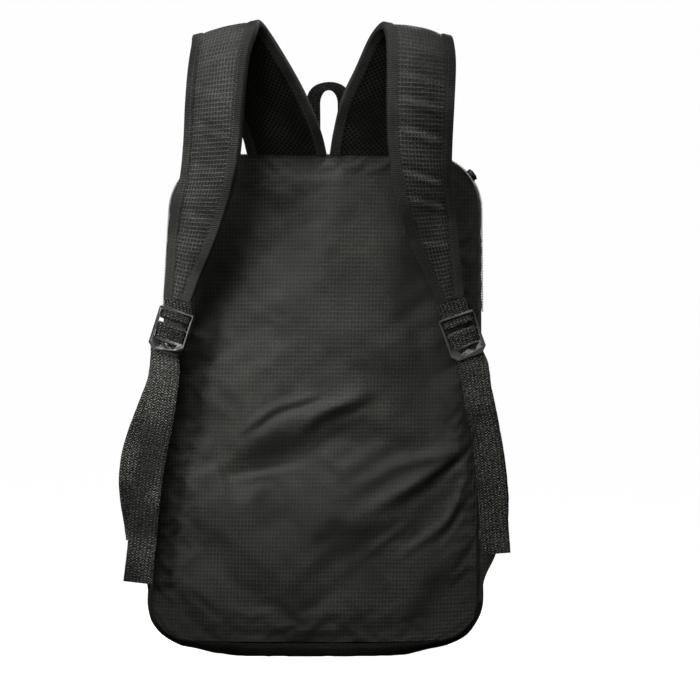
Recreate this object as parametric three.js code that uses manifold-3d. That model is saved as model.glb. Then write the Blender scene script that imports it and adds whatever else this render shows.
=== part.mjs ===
// Packable backpack: a soft ripstop bag stuffed to its full shape, with two padded
// shoulder straps that arch up from the top seam, ladder locks and adjusting webbing.
// Millimetres, +Z up. The wearer's side faces -Y, and +X is to the right of somebody
// who looks at that side. The origin is the centre of the flat patch it stands on.

import * as THREE from "three";
import Module from "manifold-3d";
import { mergeVertices } from "three/addons/utils/BufferGeometryUtils.js";

const wasm = await Module();
wasm.setup();

// Driving sizes of the bag
const bagHeight = 453.5; // floor to the top seam
const bagDepth = 128; // back seam to front seam
const seamRise = 14.5; // floor to the bottom seam
const halfWidthLow = 146.5; // centre to the side seam, at the bottom
const halfWidthHigh = 137; // centre to the side seam, at the top
const cornerLow = 32; // corner radius of the panels, at the bottom
const cornerHigh = 46; // corner radius of the panels, at the top
const wall = 1.5; // cloth with its lining and seam allowance
const seamGap = 0.3; // between pieces that are sewn together
const backCrown = 10; // how far the back panel swells
const frontCrown = 24; // how far the front panel swells
const sideBulgeLow = 9.5; // how far the sides swell past the seams, near the floor
const sideBulgeHigh = 4.5; // the same, near the top
const topBulge = 3; // how far the top swells past the seams
const cornerBulge = 9.5; // how far the bottom swells at its corners
const bottomPower = 6; // how square the bottom's section is: 2 is a plain arc
const bottomBulge = 22; // how far the bottom would hang, before the floor flattens it
const cornerLift = 7; // how far the floor corners of the bottom curve up
const cornerLiftHeight = 120; // floor to where that curve has died away
const lean = 11.5; // how far the top of the bag leans to the right

// Driving sizes of the zip
const zipEndHeight = 313; // floor to both ends of the zip
const zipPlace = 0.42; // share of the bag's depth, from the back seam
const zipGap = 13; // between the two gusset strips
const tapeThickness = 1;
const coilWidth = 5;
const coilHeight = 2.2;
const sliderLength = 11;
const sliderWidth = 9;
const sliderHeight = 4.4;
const pullLength = 24;
const pullWidth = 7;
const pullThickness = 1.6;
const sliderBridge = 1.1; // radius of the bridge that the pull hangs on
const sliderRow = 2; // which row of the top corner the slider stands on

// Driving sizes of the shoulder straps
const strapRise = 104.5; // top seam to the crest
const strapDrop = 131; // top seam down to the strap's end
const strapReach = 83; // back seam plane to the strap's foremost line
const strapWidth = 62;
const leftLift = 1; // how much higher the left strap hangs
const liftFade = 0.4; // share of a strap's rise over which that difference builds up
const foamHalf = 2; // half of the padding's thickness at its edges
const padCrown = 1.9; // how far the padding swells between the bindings
const meshThickness = 1.2;
const bindingWidth = 8;
const bindingThickness = 0.8;
const bindingGap = 0.5; // between the padding's rim and the binding folded over it

// Driving sizes of the webbing and the ladder locks
const webbingWidth = 25.4;
const webbingThickness = 1.3;
const lockWindow = 27.4; // width of the lock's opening
const lockRail = 2.6; // width of its side rails
const lockLength = 39.5;
const lockRound = 2.2; // radius of its upper corners
const lockTopRim = 2.4;
const lockTabStart = 28; // top edge to the lifting tab
const lockFront = 3.6; // front face, from the lock's middle plane
const lockRimThickness = 1.7;
const lockBack = 2.2; // back of the side rails, from the middle plane
const railSet = 0.4; // how far the rails lie behind the rim's face
const railStart = 1; // top edge to the rails
const tabBarPlace = 8; // top edge to the bar that holds the strap's tab
const tabBarRadius = 1.2;
const gripBarPlace = 17; // top edge to the bar that grips the webbing
const gripBarRadius = 1.5;
const barSink = 0.6; // how far the bars lie behind the middle plane
const tabRibHalf = 1.6; // half of the rib between the tab's two slots
const tabCutWidth = 7;
const tabCutHeight = 4.2;
const tabChamfer = 5;
const lockInset = 3.7; // how much nearer the bag the lock lies than the strap's end
const webbingClearance = 0.35;
const tabStart = 1; // strap's end to the tab's end, and the lock's edge to the tab's bend
const tabLayerGap = 0.7; // between the tab's two layers, above its bar

// Driving sizes of the webbing wings and the grab loop
const wingThickness = 2;
const wingLow = 54; // floor to the lower end of the wing's seam
const wingHigh = 144; // floor to its upper end
const wingReach = 28; // side seam to the wing's tip
const wingSew = 108; // floor to where the webbing is sewn on
const loopHeight = 66; // top seam to the top of the loop
const loopCrest = 18; // how much of that is the bow above the straight legs
const loopRoll = 52; // how far the tape is rolled over at the crest, in degrees
const loopHole = 15.4; // clear width of the loop
const loopTapeWidth = 12.5;
const loopTapeThickness = 1.6;
const loopShift = 2.5; // right of the bag's centre line
const loopSetback = 3.5; // in front of the back seam plane, so behind the straps
const loopFoot = 1.2; // top seam to the end of the loop's tape

const backY = -bagDepth / 2;
const frontY = bagDepth / 2;
const panelHeight = bagHeight - seamRise;

// Colours and finishes
const finish = (color, roughness, metalness = 0) =>
  new THREE.MeshStandardMaterial({ color, roughness, metalness });
const cloth = () => finish(0x2b2b29, 0.62);
const tape = () => finish(0x242422, 0.75);
const airMesh = () => finish(0x1c1c1b, 0.85);
const webbing = () => finish(0x31312f, 0.7);
const lockPlastic = () => finish(0x222221, 0.35);
const zipCloth = () => finish(0x1d1d1c, 0.8);
const sliderMetal = () => finish(0x2c2c2c, 0.4, 0.6);

const lerp = THREE.MathUtils.lerp;
const clamp = THREE.MathUtils.clamp;
const radians = THREE.MathUtils.degToRad;
const v3 = (x, y, z) => new THREE.Vector3(x, y, z);

// A table as a list of rows whose values go by the names of its columns
const table = (columns, ...rows) =>
  rows.map((row) => Object.fromEntries(columns.map((column, k) => [column, row[k]])));

// A closed solid between two grids of points, an outer and an inner one, rows by
// columns, with a rim all round. Its squares are cut along one diagonal, or along the
// other one in the columns that crossed names.
function shell(rows, columns, outer, inner, crossed = -1) {
  const points = [];
  const index = [];
  for (const side of [outer, inner])
    for (let i = 0; i <= rows; i++)
      for (let j = 0; j <= columns; j++) points.push(...side(i, j).toArray());
  const at = (side, i, j) => side * (rows + 1) * (columns + 1) + i * (columns + 1) + j;
  const quad = (a, b, c, d) => index.push(a, b, c, a, c, d);
  for (let i = 0; i < rows; i++)
    for (let j = 0; j < columns; j++) {
      for (const side of [0, 1]) {
        const square = [at(side, i, j), at(side, i, j + 1)];
        square.push(at(side, i + 1, j + 1), at(side, i + 1, j));
        if (j === crossed) square.push(square.shift());
        const [a, b, c, d] = square;
        quad(...(side ? [a, d, c, b] : [a, b, c, d]));
      }
    }
  for (let i = 0; i < rows; i++)
    for (const j of [0, columns]) {
      const rim = [at(0, i, j), at(0, i + 1, j), at(1, i + 1, j), at(1, i, j)];
      quad(...(j ? rim.reverse() : rim));
    }
  for (let j = 0; j < columns; j++)
    for (const i of [0, rows]) {
      const rim = [at(0, i, j), at(1, i, j), at(1, i, j + 1), at(0, i, j + 1)];
      quad(...(i ? rim.reverse() : rim));
    }
  const geometry = new THREE.BufferGeometry();
  geometry.setAttribute("position", new THREE.Float32BufferAttribute(points, 3));
  geometry.setIndex(index);
  return facingOut(geometry);
}

// The same geometry with every face turned round where it encloses a negative volume.
function facingOut(geometry) {
  const at = geometry.getAttribute("position");
  const index = geometry.index.array;
  const corner = (k) => v3().fromBufferAttribute(at, index[k]);
  let volume = 0;
  for (let k = 0; k < index.length; k += 3)
    volume += corner(k).dot(corner(k + 1).cross(corner(k + 2)));
  if (volume < 0)
    for (let k = 0; k < index.length; k += 3)
      [index[k + 1], index[k + 2]] = [index[k + 2], index[k + 1]];
  geometry.computeVertexNormals();
  return geometry;
}

const bag = new THREE.Group();

function add(name, geometry, material) {
  const mesh = new THREE.Mesh(geometry, material);
  mesh.name = name;
  bag.add(mesh);
  return mesh;
}

// A closed geometry as a solid that can be joined and cut
function solid(geometry) {
  const bare = geometry.index ? geometry.toNonIndexed() : geometry.clone();
  bare.deleteAttribute("normal");
  bare.deleteAttribute("uv");
  const merged = mergeVertices(bare, 1e-3);
  return new wasm.Manifold(
    new wasm.Mesh({
      numProp: 3,
      vertProperties: new Float32Array(merged.attributes.position.array),
      triVerts: new Uint32Array(merged.index.array),
    }),
  );
}

// One geometry from closed ones that are joined, less those that are cut away
function joined(geometries, cuts = []) {
  const sum = geometries.map(solid).reduce((a, b) => a.add(b));
  const mesh = cuts.map(solid).reduce((a, b) => a.subtract(b), sum).getMesh();
  const geometry = new THREE.BufferGeometry();
  geometry.setAttribute("position", new THREE.BufferAttribute(mesh.vertProperties, 3));
  geometry.setIndex(new THREE.BufferAttribute(mesh.triVerts, 1));
  geometry.computeVertexNormals();
  return geometry;
}

// The bag's outline, seen from the back: half the width of the panels at a height.
function seamHalfWidth(z) {
  const straight = lerp(halfWidthLow, halfWidthHigh, (z - seamRise) / panelHeight);
  const below = clamp(seamRise + cornerLow - z, 0, cornerLow);
  const above = clamp(z - (bagHeight - cornerHigh), 0, cornerHigh);
  return (
    straight -
    (cornerLow - Math.sqrt(cornerLow ** 2 - below ** 2)) -
    (cornerHigh - Math.sqrt(cornerHigh ** 2 - above ** 2))
  );
}

// Where a point of the evenly made bag comes to lie once the bag stands: its corners
// curve up off the floor, its top leans over, and nothing goes below the floor.
function settled(point, floor) {
  const outward = (point.x / halfWidthLow) ** 4;
  const nearFloor = Math.max(0, 1 - point.z / cornerLiftHeight) ** 2;
  const z = Math.max(point.z + cornerLift * outward * nearFloor, floor);
  return v3(point.x + leanAt(z), point.y, z);
}
const leanAt = (z) => (lean * z) / bagHeight;

// Heights of the rows of the panels: close together round the corners.
const cornerRows = 5;
const sideRows = 11;
const steps = (count, value) => Array.from({ length: count }, (_, k) => value(k));
const cornerAngle = (k) => (k / cornerRows) * (Math.PI / 2);
const topCornerHeight = (k) => bagHeight - cornerHigh * (1 - Math.sin(cornerAngle(k)));
const heights = [
  ...steps(cornerRows, (k) => seamRise + cornerLow * (1 - Math.cos(cornerAngle(k)))),
  ...steps(sideRows + 1, (k) => lerp(seamRise + cornerLow, bagHeight - cornerHigh, k / sideRows)),
  ...steps(cornerRows, (k) => topCornerHeight(k + 1)),
];

// Folds of the back panel, each from one place to a second one. across is a share of
// the half width, up a share of the bag's height, height a share of the crown (a hollow
// is negative), spread a share of the half width.
const folds = table(
  ["across", "up", "across2", "up2", "height", "spread"],
  [-0.49, 0.43, 0.22, 0.515, 0.42, 0.1],
  [-0.42, 0.36, 0.3, 0.455, -0.3, 0.12],
  [-0.63, 0.39, -0.55, 0.345, -0.35, 0.07],
  [0.9, 0.41, 0.29, 0.27, 0.36, 0.09],
  [0.9, 0.345, 0.56, 0.23, -0.34, 0.08],
  [-0.6, 0.94, -0.66, 0.45, -0.42, 0.16],
  [0.55, 0.9, 0.62, 0.6, -0.25, 0.14],
  [0.05, 0.9, 0, 0.62, 0.3, 0.3],
);

function foldHeight(x, z) {
  let sum = 0;
  for (const fold of folds) {
    const from = new THREE.Vector2(fold.across * halfWidthLow, fold.up * bagHeight);
    const along = new THREE.Vector2(fold.across2 * halfWidthLow, fold.up2 * bagHeight).sub(from);
    const here = new THREE.Vector2(x, z).sub(from);
    const share = clamp(here.dot(along) / along.lengthSq(), 0, 1);
    const away = here.sub(along.multiplyScalar(share)).length() / (fold.spread * halfWidthLow);
    sum += fold.height * backCrown * Math.exp(-away * away);
  }
  return sum;
}

// A panel: a sheet that swells from its seams. side is -1 on the back, 1 on the front.
function panel(side, panelColumns, crown, heaviest, relief) {
  const seamY = side < 0 ? backY : frontY;
  const surface = (i, j, depth) => {
    const z = heights[i];
    const across = Math.sin((Math.PI / 2) * ((2 * j) / panelColumns - 1));
    const x = across * seamHalfWidth(z);
    const up = (z - seamRise) / panelHeight;
    const away = up < heaviest ? 1 - up / heaviest : (up - heaviest) / (1 - heaviest);
    const swell = Math.max(1 - away ** 3, 0) * (1 - across ** 2);
    const out = swell * (crown + relief(x, z) * Math.min(1, swell * 3));
    return settled(v3(x, seamY + side * (out - depth), z), 0);
  };
  return shell(
    heights.length - 1,
    panelColumns,
    (i, j) => surface(i, j, 0),
    (i, j) => surface(i, j, wall),
  );
}

add("back_panel", panel(-1, 16, backCrown, 0.45, foldHeight), cloth());
add("front_panel", panel(1, 10, frontCrown, 0.38, () => 0), cloth());

// The outline as rows for the gusset: each has its place, its outward normal and how
// far the cloth swells there.
function sideRow(side, z) {
  const step = 0.5;
  const low = Math.max(z - step, seamRise);
  const high = Math.min(z + step, bagHeight);
  const slope = (seamHalfWidth(high) - seamHalfWidth(low)) / (high - low);
  const length = Math.hypot(1, slope);
  const cosine = 1 / length;
  const sine = -slope / length;
  const sides = lerp(sideBulgeLow, sideBulgeHigh, (z - seamRise) / panelHeight);
  const ends = sine < 0 ? cornerBulge : topBulge;
  return {
    x: side * seamHalfWidth(z),
    z,
    nx: side * cosine,
    nz: sine,
    bulge: Math.hypot(sides * cosine, ends * sine),
    power: sine < 0 ? lerp(2, bottomPower, sine ** 2) : 2,
  };
}
const edgeColumns = 8;
function endRows(z, nz, middleBulge, endBulge, power) {
  const half = seamHalfWidth(z);
  return steps(edgeColumns + 1, (k) => {
    const across = 1 - (2 * k) / edgeColumns;
    const bulge = lerp(middleBulge, endBulge, across ** 2);
    return { x: half * across, z, nx: 0, nz, bulge, power };
  });
}

const swellOf = (row, share) => row.bulge * (1 - Math.abs(2 * share - 1) ** row.power);

// A strip of the gusset between two shares of its depth, along some rows.
function gussetStrip(rows, from, to, columns, lift = 0, thickness = wall) {
  const surface = (i, j, depth) => {
    const row = rows[i];
    const share = lerp(from, to, j / columns);
    const out = swellOf(row, share) + lift - depth;
    const point = v3(row.x + row.nx * out, lerp(backY, frontY, share), row.z + row.nz * out);
    return settled(point, depth);
  };
  return shell(
    rows.length - 1,
    columns,
    (i, j) => surface(i, j, 0),
    (i, j) => surface(i, j, thickness),
  );
}

const edgeShare = (wall + seamGap) / bagDepth;
const between = (low, high) => heights.filter((z) => z > low + 1 && z < high - 1);
const cornerTopLow = seamRise + cornerLow;

// The bottom panel, from one lower corner to the other
const lowCorner = [...between(seamRise, cornerTopLow), cornerTopLow - seamGap];
const bottomRows = [
  ...lowCorner.toReversed().map((z) => sideRow(1, z)),
  ...endRows(seamRise, -1, bottomBulge, cornerBulge, bottomPower),
  ...lowCorner.map((z) => sideRow(-1, z)),
];
add("bottom_panel", gussetStrip(bottomRows, edgeShare, 1 - edgeShare, 10), cloth());

// The side gussets, from the lower corners to the ends of the zip
for (const [name, side] of [["left", -1], ["right", 1]]) {
  const levels = [cornerTopLow, ...between(cornerTopLow, zipEndHeight), zipEndHeight];
  const rows = levels.map((z) => sideRow(side, z));
  add("side_gusset_" + name, gussetStrip(rows, edgeShare, 1 - edgeShare, 8), cloth());
}

// The two strips that hold the zip, over the top from one zip end to the other
const overTop = [zipEndHeight + seamGap, ...between(zipEndHeight, bagHeight)];
const topRows = [
  ...overTop.map((z) => sideRow(1, z)),
  ...endRows(bagHeight, 1, topBulge, topBulge, 2),
  ...overTop.toReversed().map((z) => sideRow(-1, z)),
];
const zipHalf = zipGap / 2 / bagDepth;
const gapShare = seamGap / bagDepth;
add("zip_strip_back", gussetStrip(topRows, edgeShare, zipPlace - zipHalf, 4), cloth());
add("zip_strip_front", gussetStrip(topRows, zipPlace + zipHalf, 1 - edgeShare, 4), cloth());

// The zip: its tape lies between the strips, and the closed coil stands on it
const tapeLift = -0.4;
const tapeFrom = zipPlace - zipHalf + gapShare;
const tapeTo = zipPlace + zipHalf - gapShare;
add("zip_tape", gussetStrip(topRows, tapeFrom, tapeTo, 1, tapeLift, tapeThickness), zipCloth());
const coilFrom = zipPlace - coilWidth / 2 / bagDepth;
const coilTo = zipPlace + coilWidth / 2 / bagDepth;
const coilLift = tapeLift + seamGap + coilHeight;
add("zip_coil", gussetStrip(topRows, coilFrom, coilTo, 1, coilLift, coilHeight), zipCloth());

// The slider, with its pull laid forward over the front strip. Its body straddles the
// coil, so a channel is cut through it.
function zipSlider() {
  const row = sideRow(1, topCornerHeight(sliderRow));
  const body = new THREE.BoxGeometry(sliderWidth, sliderLength, sliderHeight);
  body.translate(0, 0, sliderHeight / 2);
  const bridge = new THREE.CylinderGeometry(sliderBridge, sliderBridge, sliderLength / 2, 8);
  bridge.translate(0, 0, sliderHeight);
  const pull = new THREE.BoxGeometry(pullLength, pullWidth, pullThickness);
  pull.translate(pullLength / 2, 0, sliderHeight + sliderBridge - pullThickness / 2);
  const channelHeight = coilHeight + 3 * seamGap;
  const channel = new THREE.BoxGeometry(coilWidth + 4 * seamGap, sliderLength * 2, channelHeight * 2);
  const geometry = joined([body, bridge, pull], [channel]);
  // The slider's length runs along the zip, its width across the gusset.
  const across = v3(0, 1, 0);
  const normal = v3(row.nx, 0, row.nz);
  const along = v3().crossVectors(normal, across);
  geometry.applyMatrix4(new THREE.Matrix4().makeBasis(across, along, normal));
  const out = swellOf(row, zipPlace) + tapeLift + 2 * seamGap;
  const seat = v3(row.x + row.nx * out, lerp(backY, frontY, zipPlace), row.z + row.nz * out);
  geometry.translate(...settled(seat, 0).toArray());
  return facingOut(geometry);
}
add("zip_slider", zipSlider(), sliderMetal());

// Shoulder straps. rise is a share of strapRise above the top seam, or of strapDrop
// below it; reach a share of strapReach; width of strapWidth; loft of the padding;
// left and right are shares of halfWidthHigh from the bag's centre line; slope lifts the
// strap's inner edge, and turnLeft and turnRight turn it away from the bag, in degrees.
const strapStations = table(
  ["rise", "reach", "width", "loft", "left", "right", "slope", "turnLeft", "turnRight"],
  [0.004, 0, 1.16, 0.45, -0.258, 0.285, 0, 0, 0],
  [0.17, 0.1, 1.15, 0.8, -0.294, 0.303, 4, 8, 4],
  [0.41, 0.19, 1.12, 1, -0.372, 0.339, 12, 16, 12],
  [0.63, 0.3, 1.08, 1, -0.46, 0.408, 15, 18, 13],
  [0.88, 0.43, 1.05, 1, -0.578, 0.487, 15, 18, 11],
  [1, 0.64, 1.02, 1, -0.652, 0.56, 11, 15, 6],
  [0.9, 0.84, 1, 1, -0.669, 0.588, 11, 20, 3],
  [0.7, 0.95, 0.985, 1, -0.696, 0.598, 6, 29, 4],
  [0.39, 1, 0.97, 1, -0.711, 0.598, 3, 30, 8],
  [0.06, 0.965, 0.95, 1, -0.721, 0.603, 1, 30, 16],
  [-0.18, 0.88, 0.92, 1, -0.744, 0.622, 0, 29, 24],
  [-0.4, 0.77, 0.86, 1, -0.793, 0.662, -3, 25, 25],
  [-0.615, 0.65, 0.72, 1, -0.844, 0.717, -8, 21, 22],
  [-0.8, 0.53, 0.56, 0.9, -0.892, 0.775, -12, 15, 12],
  [-1, 0.43, 0.42, 0.7, -0.938, 0.828, -16, 8, 2],
);

// A place on the strap: its centre, the direction of its width and of its outer face,
// half its width and its loft.
function strapCourse(side) {
  const [column, turnColumn] = side < 0 ? ["left", "turnLeft"] : ["right", "turnRight"];
  const lift = side < 0 ? leftLift : 0;
  const centres = strapStations.map((s) => {
    const free = Math.min(1, Math.abs(s.rise) / liftFade);
    const z = bagHeight + s.rise * (s.rise < 0 ? strapDrop : strapRise) + lift * free;
    return v3(s[column] * halfWidthHigh + leanAt(z), backY - s.reach * strapReach, z);
  });
  const tilts = strapStations.map((s) => v3(s.slope, s[turnColumn], 0));
  const sizes = strapStations.map((s) => v3(s.width, s.loft, 0));
  const curve = (points) => new THREE.CatmullRomCurve3(points, false, "centripetal");
  const path = new THREE.CatmullRomCurve3(centres, false, "catmullrom", 0.5);
  const tilt = curve(tilts.map((t, k) => v3(t.x, t.y, k)));
  const size = curve(sizes.map((t, k) => v3(t.x, t.y, k)));
  return (share) => {
    const centre = path.getPoint(share);
    const along = path.getTangent(share);
    const degrees = tilt.getPoint(share);
    const slope = radians(degrees.x) * -side;
    const turn = radians(degrees.y) * side;
    const across = v3(Math.cos(slope) * Math.cos(turn), Math.sin(turn), Math.sin(slope));
    across.normalize();
    const out = v3().crossVectors(along, across).normalize();
    const scale = size.getPoint(share);
    return { centre, across, out, half: (strapWidth / 2) * scale.x, loft: scale.y };
  };
}

const strapRows = 24;
function strapPieces(side, name) {
  const course = strapCourse(side);
  const places = steps(strapRows + 1, (i) => course(i / strapRows));
  const at = (place, across, out) =>
    place.centre
      .clone()
      .addScaledVector(place.across, across)
      .addScaledVector(place.out, out * place.loft);
  const padHalf = (place) => place.half - bindingThickness - bindingGap;
  const meshTop = -foamHalf - seamGap;
  const meshBack = meshTop - meshThickness;

  // Columns across the strap: both rims, both lines where the bindings end, and between.
  const columnsOf = (shares) => {
    const last = shares.length - 1;
    return (place, j) => {
      const half = padHalf(place);
      if (j === 0 || j === last) return Math.sign(j - 0.5) * half;
      return shares[j] * (half - bindingWidth);
    };
  };
  const padShares = [-1, -1, -0.6, 0, 0.6, 1, 1];
  const padAcross = columnsOf(padShares);
  const pad = shell(
    strapRows,
    padShares.length - 1,
    (i, j) => {
      const crown = padCrown * Math.max(0, 1 - Math.abs(padShares[j]) ** 2.5);
      return at(places[i], padAcross(places[i], j), foamHalf + crown);
    },
    (i, j) => at(places[i], padAcross(places[i], j), -foamHalf),
  );
  add("strap_pad_" + name, pad, cloth());

  const lining = shell(
    strapRows,
    padShares.length - 1,
    (i, j) => at(places[i], padAcross(places[i], j), meshTop),
    (i, j) => at(places[i], padAcross(places[i], j), meshBack),
  );
  add("strap_mesh_" + name, lining, airMesh());

  // A tape folded over each edge: its section is a channel, from the outer face round to
  // the mesh.
  for (const edge of [-1, 1]) {
    const channel = (place, j, cover) => {
      const half = padHalf(place);
      const rim = half + bindingGap + cover;
      const lip = half - bindingWidth;
      const across = [lip, rim, rim, lip][j];
      const out = [foamHalf, foamHalf, meshBack, meshBack][j];
      const away = (seamGap + cover) * (j < 2 ? 1 : -1);
      return at(place, edge * across, out + away / place.loft);
    };
    const inward = edge === side ? "outer" : "inner";
    const binding = shell(
      strapRows,
      3,
      (i, j) => channel(places[i], j, bindingThickness),
      (i, j) => channel(places[i], j, 0),
      edge > 0 ? 2 : 0,
    );
    add("strap_binding_" + inward + "_" + name, binding, tape());
  }
  return course(1);
}

// A flat tape through a list of places, each with its centre and its width direction
function flatTape(places, width, thickness, rows) {
  const path = new THREE.CatmullRomCurve3(places.map((p) => p.centre), false, "centripetal");
  // The directions are made long, so that the curve through them has even steps.
  const spokes = places.map((p) => p.across.clone().multiplyScalar(bagHeight));
  const directions = new THREE.CatmullRomCurve3(spokes, false, "catmullrom", 0.5);
  const sections = steps(rows + 1, (i) => {
    const across = directions.getPoint(i / rows).normalize();
    const out = v3().crossVectors(path.getTangent(i / rows), across).normalize();
    return { centre: path.getPoint(i / rows), across, out };
  });
  const point = (i, j, out) =>
    sections[i].centre
      .clone()
      .addScaledVector(sections[i].across, (j - 0.5) * width)
      .addScaledVector(sections[i].out, out);
  return shell(
    rows,
    1,
    (i, j) => point(i, j, thickness / 2),
    (i, j) => point(i, j, -thickness / 2),
  );
}

// Ladder locks, each under the end of its strap. aside is how far to the right of that
// end the lock's middle lies, below how far under it; tilt turns the lock's foot away
// from the bag's centre, in degrees. tailAside and tailDrop lead from the lock's foot to
// the end of the webbing's tail, outward and down.
const locks = {
  left: { side: -1, aside: 0.3, below: 10.6, tilt: 17.5, tailAside: 24.6, tailDrop: 205.3 },
  right: { side: 1, aside: 5.2, below: 13.8, tilt: 19.4, tailAside: 23.7, tailDrop: 175.6 },
};

// The lock's own axes: right along its width, down its length, out away from the bag.
function lockFrame({ side, aside, below, tilt }, strapEnd) {
  const angle = radians(tilt);
  const down = v3(side * Math.sin(angle), 0, -Math.cos(angle));
  const right = v3(Math.cos(angle), 0, side * Math.sin(angle));
  const out = v3(0, -1, 0);
  const head = strapEnd.centre.clone().add(v3(aside, lockInset, -below));
  const place = (a, d, o) =>
    head.clone().addScaledVector(right, a).addScaledVector(down, d).addScaledVector(out, o);
  return { right, down, out, head, place };
}

function ladderLock(frame) {
  const half = lockWindow / 2 + lockRail;
  const outline = new THREE.Shape();
  outline.moveTo(-half + lockRound, 0);
  outline.lineTo(half - lockRound, 0);
  outline.quadraticCurveTo(half, 0, half, lockRound);
  outline.lineTo(half, lockLength - tabChamfer);
  outline.lineTo(half - tabChamfer, lockLength);
  outline.lineTo(-half + tabChamfer, lockLength);
  outline.lineTo(-half, lockLength - tabChamfer);
  outline.lineTo(-half, lockRound);
  outline.quadraticCurveTo(-half, 0, -half + lockRound, 0);
  const window = new THREE.Path();
  const side = lockWindow / 2;
  window.moveTo(-side, lockTopRim);
  window.lineTo(-side, lockTabStart);
  window.lineTo(side, lockTabStart);
  window.lineTo(side, lockTopRim);
  window.closePath();
  outline.holes.push(window);
  const depth = lockRimThickness;
  const rim = new THREE.ExtrudeGeometry(outline, { depth, bevelEnabled: false, curveSegments: 4 });
  rim.translate(0, 0, lockFront - lockRimThickness);
  // The slots under the tab's edge: each is lower at its outer end.
  const slots = [-1, 1].map((cut) => {
    const slot = new THREE.Shape();
    const from = lockTabStart + lockRail;
    slot.moveTo(cut * tabRibHalf, from);
    slot.lineTo(cut * (tabRibHalf + tabCutWidth), from);
    slot.lineTo(cut * (tabRibHalf + tabCutWidth * 0.7), from + tabCutHeight);
    slot.lineTo(cut * tabRibHalf, from + tabCutHeight * 0.55);
    return new THREE.ExtrudeGeometry(slot, { depth: lockFront * 2, bevelEnabled: false });
  });
  const pieces = [rim];
  for (const edge of [-1, 1]) {
    const railLength = lockTabStart + lockRail;
    const railDepth = lockFront + lockBack - railSet;
    const rail = new THREE.BoxGeometry(lockRail, railLength, railDepth);
    rail.translate(edge * (side + lockRail / 2), railStart + railLength / 2, railDepth / 2 - lockBack);
    pieces.push(rail);
  }
  for (const [place, radius] of [[tabBarPlace, tabBarRadius], [gripBarPlace, gripBarRadius]]) {
    const bar = new THREE.CylinderGeometry(radius, radius, lockWindow + lockRail, 10);
    bar.rotateZ(Math.PI / 2);
    bar.translate(0, place, -barSink);
    pieces.push(bar);
  }
  const geometry = joined(pieces, slots);
  // Turned in with its own axes: x to the right, y down the lock, z out of it.
  const turn = new THREE.Matrix4().makeBasis(frame.right, frame.down, frame.out);
  geometry.applyMatrix4(turn);
  geometry.translate(...frame.head.toArray());
  return facingOut(geometry);
}

// A turn round a bar, in the lock's plane of depth, as places for a tape
function roundBar(frame, barPlace, barRadius, fromAngle, toAngle, turns) {
  const radius = barRadius + webbingClearance + webbingThickness / 2;
  return steps(turns + 1, (k) => {
    const angle = radians(lerp(fromAngle, toAngle, k / turns));
    const down = barPlace + radius * Math.sin(angle);
    return { centre: frame.place(0, down, radius * Math.cos(angle) - barSink), across: frame.right };
  });
}

// The tab: a short webbing from the strap's end, round the upper bar and back.
function strapTab(frame, strapEnd) {
  const layer = (webbingThickness + tabLayerGap) / 2;
  const start = strapEnd.centre.clone().addScaledVector(frame.down, tabStart);
  const behindRim = lockFront - lockRimThickness - webbingClearance;
  const middle = behindRim - webbingThickness / 2 - layer;
  const above = (share, out) => ({
    centre: start
      .clone()
      .lerp(frame.place(0, -tabStart, middle), share)
      .addScaledVector(frame.out, out * layer),
    across: strapEnd.across.clone().lerp(frame.right, share),
  });
  const neck = (out) => ({
    centre: frame.place(0, lockTopRim + webbingClearance, middle + out * layer),
    across: frame.right,
  });
  const places = [
    above(0, 1),
    above(0.5, 1),
    above(1, 1),
    neck(1),
    ...roundBar(frame, tabBarPlace, tabBarRadius, 0, 180, 6),
    neck(-1),
    above(1, -1),
    above(0.5, -1),
    above(0, -1),
  ];
  return flatTape(places, webbingWidth, webbingThickness, 24);
}

// The adjusting webbing: it starts on the wing, goes up behind its own tail to the
// lock, over the gripping bar and down behind the lifting tab, and hangs free. along is
// a share of the straight way: in anchored from the wing to the lock's foot, in tail from
// there to the tail's end. bow is how far outward of that way the webbing hangs, as a
// share of its width, and reach is a share of the lock's own reach.
const webbingColumns = ["along", "bow", "reach"];
const webbingCourse = {
  left: {
    anchored: table(
      webbingColumns,
      [0, 0, 0.2],
      [0.086, 0.149, 0.215],
      [0.207, 0.379, 0.36],
      [0.315, 0.512, 0.5],
      [0.442, 0.54, 0.62],
      [0.565, 0.418, 0.71],
      [0.705, 0.195, 0.79],
      [0.851, -0.019, 0.85],
    ),
    tail: table(
      webbingColumns,
      [0.058, -0.101, 1.03],
      [0.174, -0.119, 1.06],
      [0.324, -0.083, 1.05],
      [0.475, 0.024, 0.98],
      [0.663, 0.053, 0.88],
      [0.792, 0.013, 0.82],
      [0.902, 0.005, 0.8],
      [1, 0, 0.78],
    ),
  },
  right: {
    anchored: table(
      webbingColumns,
      [0, 0, 0.2],
      [0.087, 0.116, 0.215],
      [0.21, 0.237, 0.36],
      [0.334, 0.271, 0.5],
      [0.47, 0.271, 0.62],
      [0.621, 0.219, 0.72],
      [0.771, 0.146, 0.8],
      [0.894, 0.055, 0.85],
    ),
    tail: table(
      webbingColumns,
      [0.038, 0.089, 1.03],
      [0.213, 0.092, 1.06],
      [0.374, 0.183, 1.05],
      [0.585, 0.157, 0.95],
      [0.753, 0.108, 0.88],
      [0.878, 0.047, 0.82],
      [1, 0, 0.79],
    ),
  },
};

// Its places inside the lock. down is a share of the lock's length, sink is how far
// behind the lock's middle plane it runs, in thicknesses of webbing.
const lockColumns = ["down", "sink"];
const webbingIntoLock = table(lockColumns, [0.92, 3.2], [0.707, 3]);
const webbingOutOfLock = table(lockColumns, [0.64, 0.23], [0.787, 0.92], [0.973, 0.85]);

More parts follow.
